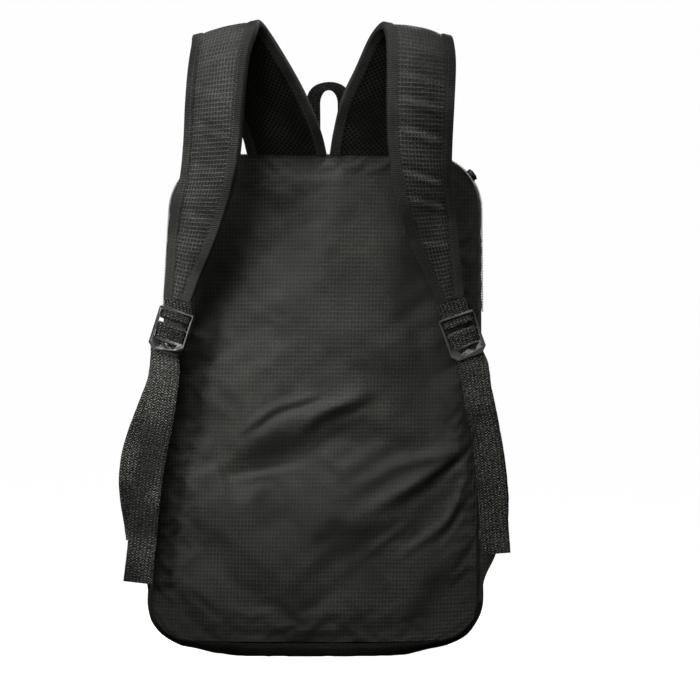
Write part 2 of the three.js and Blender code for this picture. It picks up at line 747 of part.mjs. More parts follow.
function adjustingWebbing(frame, { side, tailAside, tailDrop }, { anchored, tail }) {
  const foot = frame.place(0, lockLength, 0);
  const sewn = wingPoint(side, 0.5, wingSew);
  const end = foot.clone().add(v3(side * tailAside, 0, -tailDrop));
  const reach = backY - frame.head.y;
  const free = (from, to, rows) => {
    const centres = rows.map((row) => {
      const way = from.clone().lerp(to, row.along);
      return v3(way.x + side * row.bow * webbingWidth, backY - row.reach * reach, way.z);
    });
    return centres.map((centre, k) => {
      const last = centres[Math.max(k - 1, 0)];
      const next = centres[Math.min(k + 1, centres.length - 1)];
      const along = next.clone().sub(last);
      return { centre, across: v3(Math.abs(along.z), 0, -along.x * Math.sign(along.z)).normalize() };
    });
  };
  const inLock = ({ down, sink }) => ({
    centre: frame.place(0, down * lockLength, -sink * webbingThickness),
    across: frame.right,
  });
  const places = [
    ...free(sewn, foot, anchored),
    ...webbingIntoLock.map(inLock),
    ...roundBar(frame, gripBarPlace, gripBarRadius, 180, 380, 8),
    ...webbingOutOfLock.map(inLock),
    ...free(foot, end, tail),
  ];
  return flatTape(places, webbingWidth, webbingThickness, 56);
}

// The wing: a folded triangle of cloth from the side seam to the webbing's end. out is
// how far past the side seam it reaches, as a share of wingReach, and height a share of
// the way from wingLow to wingHigh, both at its lower and its upper edge; reach is how
// far off the back seam plane it lies, in thicknesses of the wing.
const wingStations = table(
  ["lowOut", "lowHeight", "highOut", "highHeight", "reach"],
  [0.12, 0, 0.06, 1, 1.05],
  [0.27, 0.21, 0.35, 1.04, 1.4],
  [0.59, 0.43, 0.66, 1.09, 1.9],
  [0.83, 0.71, 1, 1.11, 2.4],
);

// A place beside the bag, at a height and a share of wingReach past the side seam
function wingPoint(side, out, z) {
  return v3(side * (seamHalfWidth(z) + out * wingReach) + leanAt(z), backY, z);
}

function wing(side) {
  const point = (i, j, depth) => {
    const row = wingStations[i];
    const out = lerp(row.lowOut, row.highOut, j / 3);
    const z = lerp(wingLow, wingHigh, lerp(row.lowHeight, row.highHeight, j / 3));
    return wingPoint(side, out, z).add(v3(0, depth - row.reach * wingThickness, 0));
  };
  return shell(
    wingStations.length - 1,
    3,
    (i, j) => point(i, j, -wingThickness / 2),
    (i, j) => point(i, j, wingThickness / 2),
  );
}

for (const [name, lock] of Object.entries(locks)) {
  const strapEnd = strapPieces(lock.side, name);
  const frame = lockFrame(lock, strapEnd);
  add("strap_tab_" + name, strapTab(frame, strapEnd), webbing());
  add("ladder_lock_" + name, ladderLock(frame), lockPlastic());
  add("adjusting_webbing_" + name, adjustingWebbing(frame, lock, webbingCourse[name]), webbing());
  add("webbing_wing_" + name, wing(lock.side), cloth());
}

// The grab loop: a tape that stands up from the top seam behind the straps, flat towards
// the wearer at its legs and rolled over at its crest.
function grabLoop() {
  const legSpread = (loopHole + loopTapeWidth) / 2;
  const legTop = loopHeight - loopCrest;
  const bowSteps = 10;
  const bowRise = loopCrest - (loopTapeWidth / 2) * Math.cos(radians(loopRoll));
  // The direction of the tape's width, from a leg (0 or half a turn) over the crest
  const rolled = (angle) => {
    const roll = radians(loopRoll) * Math.sin(angle) ** 2;
    return v3(Math.cos(angle) * Math.cos(roll), Math.sin(roll), Math.sin(angle) * Math.cos(roll));
  };
  const place = (aside, rise, angle) => {
    const centreX = loopShift + leanAt(bagHeight);
    return { centre: v3(centreX + aside, backY + loopSetback, bagHeight + rise), across: rolled(angle) };
  };
  const leg = [0, 1, 2].map((k) => lerp(loopFoot, legTop, k / 3));
  const bow = steps(bowSteps + 1, (k) => (Math.PI * k) / bowSteps);
  const places = [
    ...leg.map((rise) => place(legSpread, rise, 0)),
    ...bow.map((angle) => place(legSpread * Math.cos(angle), legTop + bowRise * Math.sin(angle), angle)),
    ...leg.toReversed().map((rise) => place(-legSpread, rise, Math.PI)),
  ];
  return flatTape(places, loopTapeWidth, loopTapeThickness, 34);
}
add("grab_loop", grabLoop(), webbing());

export default bag;
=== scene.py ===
"""The looks of a packable backpack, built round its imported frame.

Lengths in the tables and sizes are millimetres, with +Z up, the wearer's side towards
-Y and +X to the right of somebody who looks at that side. Meshes are made in metres.
"""

from __future__ import annotations

import logging
import math
from dataclasses import dataclass, field
from enum import Enum
from typing import Callable, Sequence

import bmesh
import bpy
import numpy as np
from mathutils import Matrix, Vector

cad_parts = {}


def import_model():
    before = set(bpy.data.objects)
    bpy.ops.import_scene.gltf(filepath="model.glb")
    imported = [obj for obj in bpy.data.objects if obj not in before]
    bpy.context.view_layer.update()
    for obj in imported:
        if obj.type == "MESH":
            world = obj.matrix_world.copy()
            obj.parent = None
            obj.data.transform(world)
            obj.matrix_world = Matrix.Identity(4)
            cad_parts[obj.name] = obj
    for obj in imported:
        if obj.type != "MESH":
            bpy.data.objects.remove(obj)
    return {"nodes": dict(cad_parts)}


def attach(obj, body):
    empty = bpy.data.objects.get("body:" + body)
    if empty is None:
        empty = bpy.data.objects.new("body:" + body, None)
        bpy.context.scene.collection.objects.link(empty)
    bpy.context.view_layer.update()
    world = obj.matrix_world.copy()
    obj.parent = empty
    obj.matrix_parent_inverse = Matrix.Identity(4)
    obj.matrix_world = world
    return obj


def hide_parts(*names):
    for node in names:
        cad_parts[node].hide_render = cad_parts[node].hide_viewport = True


MM = 0.001
BODY = "root"
UV_NAME = "weave"
FOLD_PEAK = 1.65  # brings the section of a fold to its full height

LOG = logging.getLogger("backpack")
Array = np.ndarray


class Side(Enum):
    """The left or right half of the bag, as seen from the wearer's side."""

    LEFT = -1
    RIGHT = 1

    @property
    def label(self) -> str:
        """The word that node names end with."""
        return self.name.lower()


class Crease(Enum):
    """The section of a crease: a raised ridge, a hollow, or a fold with both."""

    RIDGE = 1
    HOLLOW = 2
    FOLD = 3


# Sizes


@dataclass(frozen=True)
class BagSizes:
    """Sizes of the bag's body, with the names and values of the solid model."""

    height: float = 453.5
    depth: float = 128.0
    seam_rise: float = 14.5
    half_width_low: float = 146.5
    half_width_high: float = 137.0
    corner_low: float = 32.0
    corner_high: float = 46.0
    wall: float = 1.5
    seam_gap: float = 0.3
    back_crown: float = 10.0
    front_crown: float = 24.0
    back_heaviest: float = 0.45
    front_heaviest: float = 0.38
    side_bulge_low: float = 9.5
    side_bulge_high: float = 4.5
    top_bulge: float = 3.0
    corner_bulge: float = 9.5
    bottom_power: float = 6.0
    bottom_bulge: float = 22.0
    corner_lift: float = 7.0
    corner_lift_height: float = 120.0
    lean: float = 11.5
    zip_end: float = 313.0
    zip_place: float = 0.42
    zip_gap: float = 13.0
    tape_thickness: float = 1.0
    tape_lift: float = -0.4
    coil_width: float = 5.0
    coil_height: float = 2.2
    coil_inset: float = 0.2

    @property
    def back_y(self) -> float:
        """The plane of the seams on the wearer's side."""
        return -self.depth / 2

    @property
    def front_y(self) -> float:
        """The plane of the seams on the far side."""
        return self.depth / 2


@dataclass(frozen=True)
class StrapSizes:
    """Sizes of a shoulder strap."""

    rise: float = 104.5
    drop: float = 131.0
    reach: float = 83.0
    width: float = 62.0
    left_lift: float = 1.0
    lift_fade: float = 0.4
    foam_half: float = 2.0
    crown: float = 1.9
    mesh_thickness: float = 1.2
    binding_width: float = 8.0
    binding_thickness: float = 0.8
    binding_gap: float = 0.5
    binding_radius: float = 1.9
    stitch_inset: float = 2.1
    rim_radius: float = 1.8
    mesh_inset: float = 1.4
    mesh_columns: int = 27
    rows: int = 260
    columns: int = 34


@dataclass(frozen=True)
class LockSizes:
    """Sizes of a ladder lock, its webbing and the strap's tab."""

    length: float = 39.5
    top_rim: float = 2.4
    front: float = 3.6
    rim_thickness: float = 1.7
    tab_bar_place: float = 8.0
    tab_bar_radius: float = 1.2
    grip_bar_place: float = 17.0
    grip_bar_radius: float = 1.5
    bar_sink: float = 0.6
    inset: float = 3.7
    webbing_width: float = 25.4
    webbing_thickness: float = 1.3
    clearance: float = 0.35
    tab_start: float = 1.0
    tab_layer_gap: float = 0.7


@dataclass(frozen=True)
class LockPlace:
    """Where a lock hangs under its strap's end, and where its webbing's tail ends."""

    aside: float
    below: float
    tilt: float
    tail_aside: float
    tail_drop: float
    webbing_aside: float


@dataclass(frozen=True)
class WingSizes:
    """Sizes of the cloth wings that the webbing is sewn to."""

    thickness: float = 2.0
    low: float = 54.0
    high: float = 144.0
    reach: float = 28.0
    sew: float = 108.0


@dataclass(frozen=True)
class LoopSizes:
    """Sizes of the grab loop."""

    height: float = 66.0
    crest: float = 18.0
    roll: float = 52.0
    hole: float = 15.4
    width: float = 12.5
    thickness: float = 1.6
    shift: float = 2.5
    setback: float = 3.5
    foot: float = 1.2
    bow_steps: int = 10


LOCK_PLACES: dict[Side, LockPlace] = {
    Side.LEFT: LockPlace(0.3, 10.6, 17.5, 24.6, 205.3, -0.7),
    Side.RIGHT: LockPlace(5.2, 13.8, 19.4, 23.7, 175.6, 0.0),
}

# Main folds of the back panel: from (across, up) to (across, up), height and spread
MAIN_FOLDS = (
    (-0.49, 0.43, 0.22, 0.515, 0.42, 0.1),
    (-0.42, 0.36, 0.3, 0.455, -0.3, 0.12),
    (-0.63, 0.39, -0.55, 0.345, -0.35, 0.07),
    (0.9, 0.41, 0.29, 0.27, 0.36, 0.09),
    (0.9, 0.345, 0.56, 0.23, -0.34, 0.08),
    (-0.6, 0.94, -0.66, 0.45, -0.42, 0.16),
    (0.55, 0.9, 0.62, 0.6, -0.25, 0.14),
    (0.05, 0.9, 0.0, 0.62, 0.3, 0.3),
)

# rise, reach, width, loft, left, right, slope, turn on the left, turn on the right
STRAP_STATIONS = (
    (0.004, 0, 1.16, 0.45, -0.258, 0.285, 0, 0, 0),
    (0.17, 0.1, 1.15, 0.8, -0.294, 0.303, 4, 8, 4),
    (0.41, 0.19, 1.12, 1, -0.372, 0.339, 12, 16, 12),
    (0.63, 0.3, 1.08, 1, -0.46, 0.408, 15, 18, 13),
    (0.88, 0.43, 1.05, 1, -0.578, 0.487, 15, 18, 11),
    (1, 0.64, 1.02, 1, -0.652, 0.56, 11, 15, 6),
    (0.9, 0.84, 1, 1, -0.669, 0.588, 11, 20, 3),
    (0.7, 0.95, 0.985, 1, -0.696, 0.598, 6, 29, 4),
    (0.39, 1, 0.97, 1, -0.711, 0.598, 3, 30, 8),
    (0.06, 0.965, 0.95, 1, -0.721, 0.603, 1, 30, 16),
    (-0.18, 0.88, 0.92, 1, -0.744, 0.622, 0, 29, 24),
    (-0.4, 0.77, 0.86, 1, -0.793, 0.662, -3, 25, 25),
    (-0.615, 0.65, 0.72, 1, -0.844, 0.717, -8, 21, 22),
    (-0.8, 0.53, 0.56, 0.9, -0.892, 0.775, -12, 15, 12),
    (-1, 0.43, 0.42, 0.7, -0.938, 0.828, -16, 8, 2),
)

# The webbing's free course on each side: along, bow and reach of each place
ANCHORED = {
    Side.LEFT: (
        (0, 0, 0.2), (0.086, 0.149, 0.215), (0.207, 0.379, 0.36), (0.315, 0.512, 0.5),
        (0.442, 0.54, 0.62), (0.565, 0.418, 0.71), (0.705, 0.195, 0.79),
        (0.851, -0.019, 0.85),
    ),
    Side.RIGHT: (
        (0, 0, 0.2), (0.087, 0.116, 0.215), (0.21, 0.237, 0.36), (0.334, 0.271, 0.5),
        (0.47, 0.271, 0.62), (0.621, 0.219, 0.72), (0.771, 0.146, 0.8),
        (0.894, 0.055, 0.85),
    ),
}
TAIL = {
    Side.LEFT: (
        (0.058, -0.101, 1.03), (0.174, -0.119, 1.06), (0.324, -0.083, 1.05),
        (0.475, 0.024, 0.98), (0.663, 0.053, 0.88), (0.792, 0.013, 0.82),
        (0.902, 0.005, 0.8), (1, 0, 0.78),
    ),
    Side.RIGHT: (
        (0.038, 0.089, 1.03), (0.213, 0.092, 1.06), (0.374, 0.183, 1.05),
        (0.585, 0.157, 0.95), (0.753, 0.108, 0.88), (0.878, 0.047, 0.82), (1, 0, 0.79),
    ),
}
INTO_LOCK = ((0.92, 3.2), (0.707, 3.0))
OUT_OF_LOCK = ((0.64, 0.23), (0.787, 0.92), (0.973, 0.85))

# Stations of the wing: out and height of its lower edge, the same of its upper edge,
# and how far off the seams' plane it lies, in thicknesses
WING_STATIONS = (
    (0.12, 0, 0.06, 1, 1.05),
    (0.27, 0.21, 0.35, 1.04, 1.4),
    (0.59, 0.43, 0.66, 1.09, 1.9),
    (0.83, 0.71, 1, 1.11, 2.4),
)


# Curves and fields


def lerp(start: float | Array, end: float | Array, share: float | Array) -> Array:
    """The value at a share of the way from start to end."""
    return start + (end - start) * share


def unit(vectors: Array) -> Array:
    """Vectors of length one, along the last axis."""
    return vectors / np.linalg.norm(vectors, axis=-1, keepdims=True)


class SmoothCurve:
    """A Catmull-Rom curve through points, run in even steps of its points."""

    def __init__(self, points: Sequence, centripetal: bool = True) -> None:
        """Keeps the points.

        Args:
            points: The places that the curve goes through.
            centripetal: Spaces the curve by the distances of its points.
        """
        self.points = np.asarray(points, dtype=float)
        self.centripetal = centripetal

    def at(self, share: float) -> Array:
        """The place at a share of the curve's points.

        Args:
            share: From 0 at the first point to 1 at the last.

        Returns:
            One place.
        """
        p = self.points
        last = len(p) - 1
        run = share * last
        k = min(max(int(math.floor(run)), 0), last - 1)
        weight = run - k
        p1, p2 = p[k], p[k + 1]
        p0 = p[k - 1] if k > 0 else 2 * p[0] - p[1]
        p3 = p[k + 2] if k + 2 <= last else 2 * p[last] - p[last - 1]
        if self.centripetal:
            d0, d1, d2 = (self._spacing(a, b) for a, b in ((p0, p1), (p1, p2), (p2, p3)))
            d1 = d1 if d1 > 1e-4 else 1.0
            d0 = d0 if d0 > 1e-4 else d1
            d2 = d2 if d2 > 1e-4 else d1
            t1 = ((p1 - p0) / d0 - (p2 - p0) / (d0 + d1) + (p2 - p1) / d1) * d1
            t2 = ((p2 - p1) / d1 - (p3 - p1) / (d1 + d2) + (p3 - p2) / d2) * d1
        else:
            t1, t2 = (p2 - p0) / 2, (p3 - p1) / 2
        w2, w3 = weight**2, weight**3
        cubic = (2 * w3 - 3 * w2 + 1) * p1 + (w3 - 2 * w2 + weight) * t1
        return cubic + (3 * w2 - 2 * w3) * p2 + (w3 - w2) * t2

    @staticmethod
    def _spacing(start: Array, end: Array) -> float:
        """The centripetal spacing of two points."""
        return float(np.sum((end - start) ** 2)) ** 0.25

    def along(self, shares: Array) -> Array:
        """The places at many shares."""
        return np.array([self.at(share) for share in shares])

    def tangents(self, shares: Array, step: float = 1e-4) -> Array:
        """The directions of the curve at many shares."""
        low = self.along(np.clip(shares - step, 0, 1))
        high = self.along(np.clip(shares + step, 0, 1))
        return unit(high - low)


class SmoothNoise:
    """A smooth random field over the plane: waves in seeded directions."""

    def __init__(self, seed: int, wavelength: float, waves: int = 14) -> None:
        """Draws the waves.

        Args:
            seed: Fixes the field.
            wavelength: Middle wavelength, in the units of its coordinates.
            waves: How many waves are summed.
        """
        draw = np.random.default_rng(seed)
        angles = draw.uniform(0, 2 * math.pi, waves)
        pace = 2 * math.pi / (wavelength * draw.uniform(0.65, 1.6, waves))
        self.kx, self.ky = np.cos(angles) * pace, np.sin(angles) * pace
        self.phase = draw.uniform(0, 2 * math.pi, waves)

    def at(self, x: Array, y: Array) -> Array:
        """The field's value, mostly between -1 and 1, at each place."""
        angle = x[..., None] * self.kx + y[..., None] * self.ky + self.phase
        return np.cos(angle).sum(axis=-1) / math.sqrt(len(self.phase))


def crease_height(x: Array, z: Array, rows: Sequence[tuple]) -> Array:
    """The height of sharp creases at places of a cloth.

    Args:
        x: Places across, in millimetres.
        z: Places up, in millimetres.
        rows: Creases as (x, z, x, z, height, width, kind).

    Returns:
        The height at each place, in millimetres.
    """
    total = np.zeros_like(x)
    for x1, z1, x2, z2, height, width, kind in rows:
        start = np.array([x1, z1])
        way = np.array([x2 - x1, z2 - z1])
        length = float(np.linalg.norm(way))
        share = ((x - x1) * way[0] + (z - z1) * way[1]) / length**2
        aside = ((z - z1) * way[0] - (x - x1) * way[1]) / length
        inside = np.clip(share, 0, 1)
        beyond = np.hypot(x - start[0] - way[0] * inside, z - start[1] - way[1] * inside)
        fade = np.exp(-((beyond**2 - np.minimum(beyond, np.abs(aside)) ** 2) / (2 * width) ** 2))
        taper = np.sin(np.pi * np.clip(inside * 0.86 + 0.07, 0, 1)) ** 0.5
        away = aside / width
        if kind is Crease.FOLD:
            section = FOLD_PEAK * away * np.exp(-(away**2))
        else:
            section = np.exp(-(away**2)) * (1 if kind is Crease.RIDGE else -1)
        total += height * section * fade * taper
    return total


# Meshes


@dataclass
class Grid:
    """A sheet of points in rows and columns, with its place in the weave."""

    points: Array
    weave: Array

    @property
    def shape(self) -> tuple[int, int]:
        """How many rows and columns of points there are."""
        return self.points.shape[0], self.points.shape[1]


class MeshMaker:
    """Makes Blender objects from grids and lists of points."""

    @staticmethod
    def link(name: str, mesh: bpy.types.Mesh) -> bpy.types.Object:
        """A new object of a mesh, in the scene."""
        piece = bpy.data.objects.new(name, mesh)
        bpy.context.scene.collection.objects.link(piece)
        return piece

    @classmethod
    def shell(cls, name: str, outer: Grid, inner: Array, sharp: float = 50) -> bpy.types.Object:
        """A closed solid between two grids.

        Args:
            name: The object's name.
            outer: The outer grid, with the weave's coordinates in metres.
            inner: The inner grid's points.
            sharp: Angle in degrees above which an edge is sharp.

        Returns:
            The object, with its faces outward.
        """
        rows, columns = outer.shape
        at = np.arange(rows * columns).reshape(rows, columns)
        lift = rows * columns
        a, b, c, d = at[:-1, :-1], at[:-1, 1:], at[1:, 1:], at[1:, :-1]
        front = np.stack([a, b, c, d], axis=-1).reshape(-1, 4)
        faces = [front, front[:, ::-1] + lift]
        for line, turned in ((at[:, 0], False), (at[:, -1], True), (at[0], True), (at[-1], False)):
            rim = np.stack([line[:-1], line[1:], line[1:] + lift, line[:-1] + lift], axis=-1)
            faces.append(rim[:, ::-1] if turned else rim)
        quads = np.concatenate(faces)
        points = np.concatenate([outer.points.reshape(-1, 3), inner.reshape(-1, 3)]) * MM
        weave = np.concatenate([outer.weave.reshape(-1, 2)] * 2)
        return cls.solid(name, points, quads, weave, sharp)

    @classmethod
    def tube(cls, name: str, ring: Array, weave: Array, sharp: float = 50) -> bpy.types.Object:
        """A closed solid whose section is a closed ring, with plain ends.

        Args:
            name: The object's name.
            ring: Points as (rows, points round the ring, 3), in millimetres.
            weave: The weave's coordinates of the same points, in metres.
            sharp: Angle in degrees above which an edge is sharp.

        Returns:
            The object, with its faces outward.
        """
        rows, around = ring.shape[:2]
        at = np.arange(rows * around).reshape(rows, around)
        nxt = np.roll(at, -1, axis=1)
        quads = np.stack([at[:-1], nxt[:-1], nxt[1:], at[1:]], axis=-1).reshape(-1, 4)
        ends = [at[0][::-1].tolist(), at[-1].tolist()]
        polygons = quads.tolist() + ends
        return cls.solid(name, ring.reshape(-1, 3) * MM, polygons, weave.reshape(-1, 2), sharp)

    @classmethod
    def solid(
        cls, name: str, points: Array, faces: Sequence, weave: Array, sharp: float
    ) -> bpy.types.Object:
        """An object from points, faces and weave coordinates.

        Args:
            name: The object's name.
            points: Its vertices, in metres.
            faces: Lists of vertex numbers.
            weave: Two coordinates of each vertex, in metres.
            sharp: Angle in degrees above which an edge is sharp.

        Returns:
            The object, smooth apart from its sharp edges.
        """
        mesh = bpy.data.meshes.new(name)
        mesh.from_pydata(points.tolist(), [], [list(map(int, face)) for face in faces])
        cls.face_outward(mesh)
        layer = mesh.uv_layers.new(name=UV_NAME)
        numbers = np.empty(len(mesh.loops), dtype=np.int32)
        mesh.loops.foreach_get("vertex_index", numbers)
        layer.data.foreach_set("uv", weave[numbers].astype(np.float32).ravel())
        mesh.shade_smooth()
        mesh.set_sharp_from_angle(angle=math.radians(sharp))
        mesh.update()
        return cls.link(name, mesh)

    @staticmethod
    def face_outward(mesh: bpy.types.Mesh) -> None:
        """Turns all faces of a closed mesh so that they enclose a positive volume."""
        work = bmesh.new()
        work.from_mesh(mesh)
        if work.calc_volume(signed=True) < 0:
            bmesh.ops.reverse_faces(work, faces=work.faces)
        work.to_mesh(mesh)
        work.free()

    @classmethod
    def polyline(cls, name: str, points: Array, up: Array) -> bpy.types.Object:
        """A bare line of edges that keeps an up direction at each point.

        Args:
            name: The object's name.
            points: Places along the line, in millimetres.
            up: The outward direction of what the line lies on.

        Returns:
            The object that a row of repeats is grown on.
        """
        mesh = bpy.data.meshes.new(name)
        edges = [(k, k + 1) for k in range(len(points) - 1)]
        mesh.from_pydata((points * MM).tolist(), edges, [])
        attribute = mesh.attributes.new(name="up", type="FLOAT_VECTOR", domain="POINT")
        attribute.data.foreach_set("vector", up.astype(np.float32).ravel())
        return cls.link(name, mesh)

    @classmethod
    def joined(cls, name: str, pieces: Sequence[bpy.types.Object]) -> bpy.types.Object:
        """One object from several, which are taken away.

        Args:
            name: The new object's name.
            pieces: Mesh objects that share one material.

        Returns:
            The joined object.
        """
        work = bmesh.new()
        for piece in pieces:
            work.from_mesh(piece.data)
        mesh = bpy.data.meshes.new(name)
        work.to_mesh(mesh)
        work.free()
        mesh.materials.append(pieces[0].data.materials[0])
        for piece in pieces:
            bpy.data.objects.remove(piece)
        return cls.link(name, mesh)


# Repeats grown by geometry nodes


@dataclass(frozen=True)
class Repeat:
    """One kind of small thing repeated along a line: a stitch or a zip tooth."""

    pitch: float
    across: float
    height: float
    along: float
    segments: int = 8
    rings: int = 5


class RepeatRow:
    """Grows repeats along a line with a geometry node tree."""

    TREE = "repeat_row"

    def __init__(self, repeat: Repeat, material: bpy.types.Material) -> None:
        """Keeps what is repeated and what it is made of."""
        self.repeat = repeat
        self.material = material

    @classmethod
    def tree(cls) -> bpy.types.NodeTree:
        """The node tree, made at its first use.

        Returns:
            A tree that puts scaled, aligned rounds along its input line.
        """
        if cls.TREE in bpy.data.node_groups:
            return bpy.data.node_groups[cls.TREE]
        tree = bpy.data.node_groups.new(cls.TREE, "GeometryNodeTree")
        sockets = (
            ("Geometry", "INPUT", "NodeSocketGeometry"),
            ("Pitch", "INPUT", "NodeSocketFloat"),
            ("Size", "INPUT", "NodeSocketVector"),
            ("Segments", "INPUT", "NodeSocketInt"),
            ("Rings", "INPUT", "NodeSocketInt"),
            ("Material", "INPUT", "NodeSocketMaterial"),
            ("Geometry", "OUTPUT", "NodeSocketGeometry"),
        )
        for name, direction, kind in sockets:
            tree.interface.new_socket(name=name, in_out=direction, socket_type=kind)
        nodes = tree.nodes
        source = nodes.new("NodeGroupInput")
        sink = nodes.new("NodeGroupOutput")
        curve = nodes.new("GeometryNodeMeshToCurve")
        spread = nodes.new("GeometryNodeCurveToPoints")
        spread.mode = "LENGTH"
        up = nodes.new("GeometryNodeInputNamedAttribute")
        up.data_type = "FLOAT_VECTOR"
        up.inputs["Name"].default_value = "up"
        head = nodes.new("FunctionNodeAlignRotationToVector")
        head.axis = "Y"
        roll = nodes.new("FunctionNodeAlignRotationToVector")
        roll.axis = "Z"
        roll.pivot_axis = "Y"
        ball = nodes.new("GeometryNodeMeshUVSphere")
        ball.inputs["Radius"].default_value = 0.5
        place = nodes.new("GeometryNodeInstanceOnPoints")
        real = nodes.new("GeometryNodeRealizeInstances")
        paint = nodes.new("GeometryNodeSetMaterial")
        rows = (
            (source, "Geometry", curve, "Mesh"), (curve, "Curve", spread, "Curve"),
            (source, "Pitch", spread, "Length"), (spread, "Points", place, "Points"),
            (spread, "Tangent", head, "Vector"), (head, "Rotation", roll, "Rotation"),
            (up, "Attribute", roll, "Vector"), (roll, "Rotation", place, "Rotation"),
            (source, "Segments", ball, "Segments"), (source, "Rings", ball, "Rings"),
            (ball, "Mesh", place, "Instance"), (source, "Size", place, "Scale"),
            (place, "Instances", real, "Geometry"), (real, "Geometry", paint, "Geometry"),
            (source, "Material", paint, "Material"), (paint, "Geometry", sink, "Geometry"),
        )
        for start, output, end, entry in rows:
            tree.links.new(start.outputs[output], end.inputs[entry])
        return tree

    def grow(self, name: str, lines: Sequence[tuple[Array, Array]]) -> bpy.types.Object:
        """Grows the repeats along lines.

        Args:
            name: The new object's name.
            lines: Each line as its points, in millimetres, and its up directions.

        Returns:
            One plain mesh object with all the repeats.
        """
        grown = []
        for number, (points, up) in enumerate(lines):
            line = MeshMaker.polyline(f"{name}_line_{number}", points, up)
            modifier = line.modifiers.new("repeats", "NODES")
            modifier.node_group = self.tree()
            values = {
                "Pitch": self.repeat.pitch * MM,
                "Size": tuple(
                    size * MM
                    for size in (self.repeat.across, self.repeat.along, self.repeat.height)
                ),
                "Segments": self.repeat.segments,
                "Rings": self.repeat.rings,
                "Material": self.material,
            }
            for item in modifier.node_group.interface.items_tree:
                if item.in_out == "INPUT" and item.name in values:
                    modifier[item.identifier] = values[item.name]
            graph = bpy.context.evaluated_depsgraph_get()
            mesh = bpy.data.meshes.new_from_object(line.evaluated_get(graph))
            mesh.shade_smooth()
            if not mesh.materials:
                mesh.materials.append(self.material)
            grown.append(MeshMaker.link(f"{name}_part_{number}", mesh))
            line.modifiers.clear()
            bpy.data.objects.remove(line)
        return MeshMaker.joined(name, grown)


# Materials


class Graph:
    """A short way to write shader node trees."""

    def __init__(self, tree: bpy.types.NodeTree) -> None:
        """Keeps the tree."""
        self.tree = tree

    def add(self, kind: str, **values: object) -> bpy.types.Node:
        """A new node.

        Args:
            kind: The node's type.
            **values: Attributes of the node, or inputs by name with _ for a space.

        Returns:
            The node.
        """
        node = self.tree.nodes.new(kind)
        for name, value in values.items():
            if hasattr(node, name):
                setattr(node, name, value)
            else:
                self.feed(node.inputs[name.replace("_", " ")], value)
        return node

    def feed(self, socket: bpy.types.NodeSocket, value: object) -> None:
        """Links a socket to another one, or sets its value."""
        if isinstance(value, bpy.types.NodeSocket):
            self.tree.links.new(value, socket)
        else:
            socket.default_value = value

    def math(self, operation: str, *values: object) -> bpy.types.NodeSocket:
        """The result of a Math node.

        Args:
            operation: The node's operation.
            *values: Numbers or sockets.

        Returns:
            The result's socket.
        """
        node = self.tree.nodes.new("ShaderNodeMath")
        node.operation = operation
        for socket, value in zip(node.inputs, values):
            self.feed(socket, value)
        return node.outputs[0]

    def smooth(self, value: object, low: float, high: float) -> bpy.types.NodeSocket:
        """A smooth step of a value from 0 at low to 1 at high."""
        node = self.add("ShaderNodeMapRange", interpolation_type="SMOOTHSTEP")
        for name, number in (("From Min", low), ("From Max", high)):
            node.inputs[name].default_value = number
        self.feed(node.inputs["Value"], value)
        return node.outputs["Result"]

    def noise(self, vector: object, scale: float, detail: float = 2.0) -> bpy.types.NodeSocket:
        """The factor of a Noise texture."""
        node = self.add("ShaderNodeTexNoise", Scale=scale, Detail=detail)
        self.feed(node.inputs["Vector"], vector)
        return node.outputs["Fac"]

    def mix(self, share: object, first: object, second: object) -> bpy.types.NodeSocket:
        """A mix of two colours."""
        node = self.add("ShaderNodeMix", data_type="RGBA")
        self.feed(node.inputs["Factor"], share)
        self.feed(node.inputs[6], first)
        self.feed(node.inputs[7], second)
        return node.outputs[2]


class Pattern(Enum):
    """The surface patterns that shader node groups draw."""

    RIPSTOP = "ripstop"
    WEBBING = "webbing_weave"
    AIR_MESH = "air_mesh_knit"
    TAPE = "tape_weave"


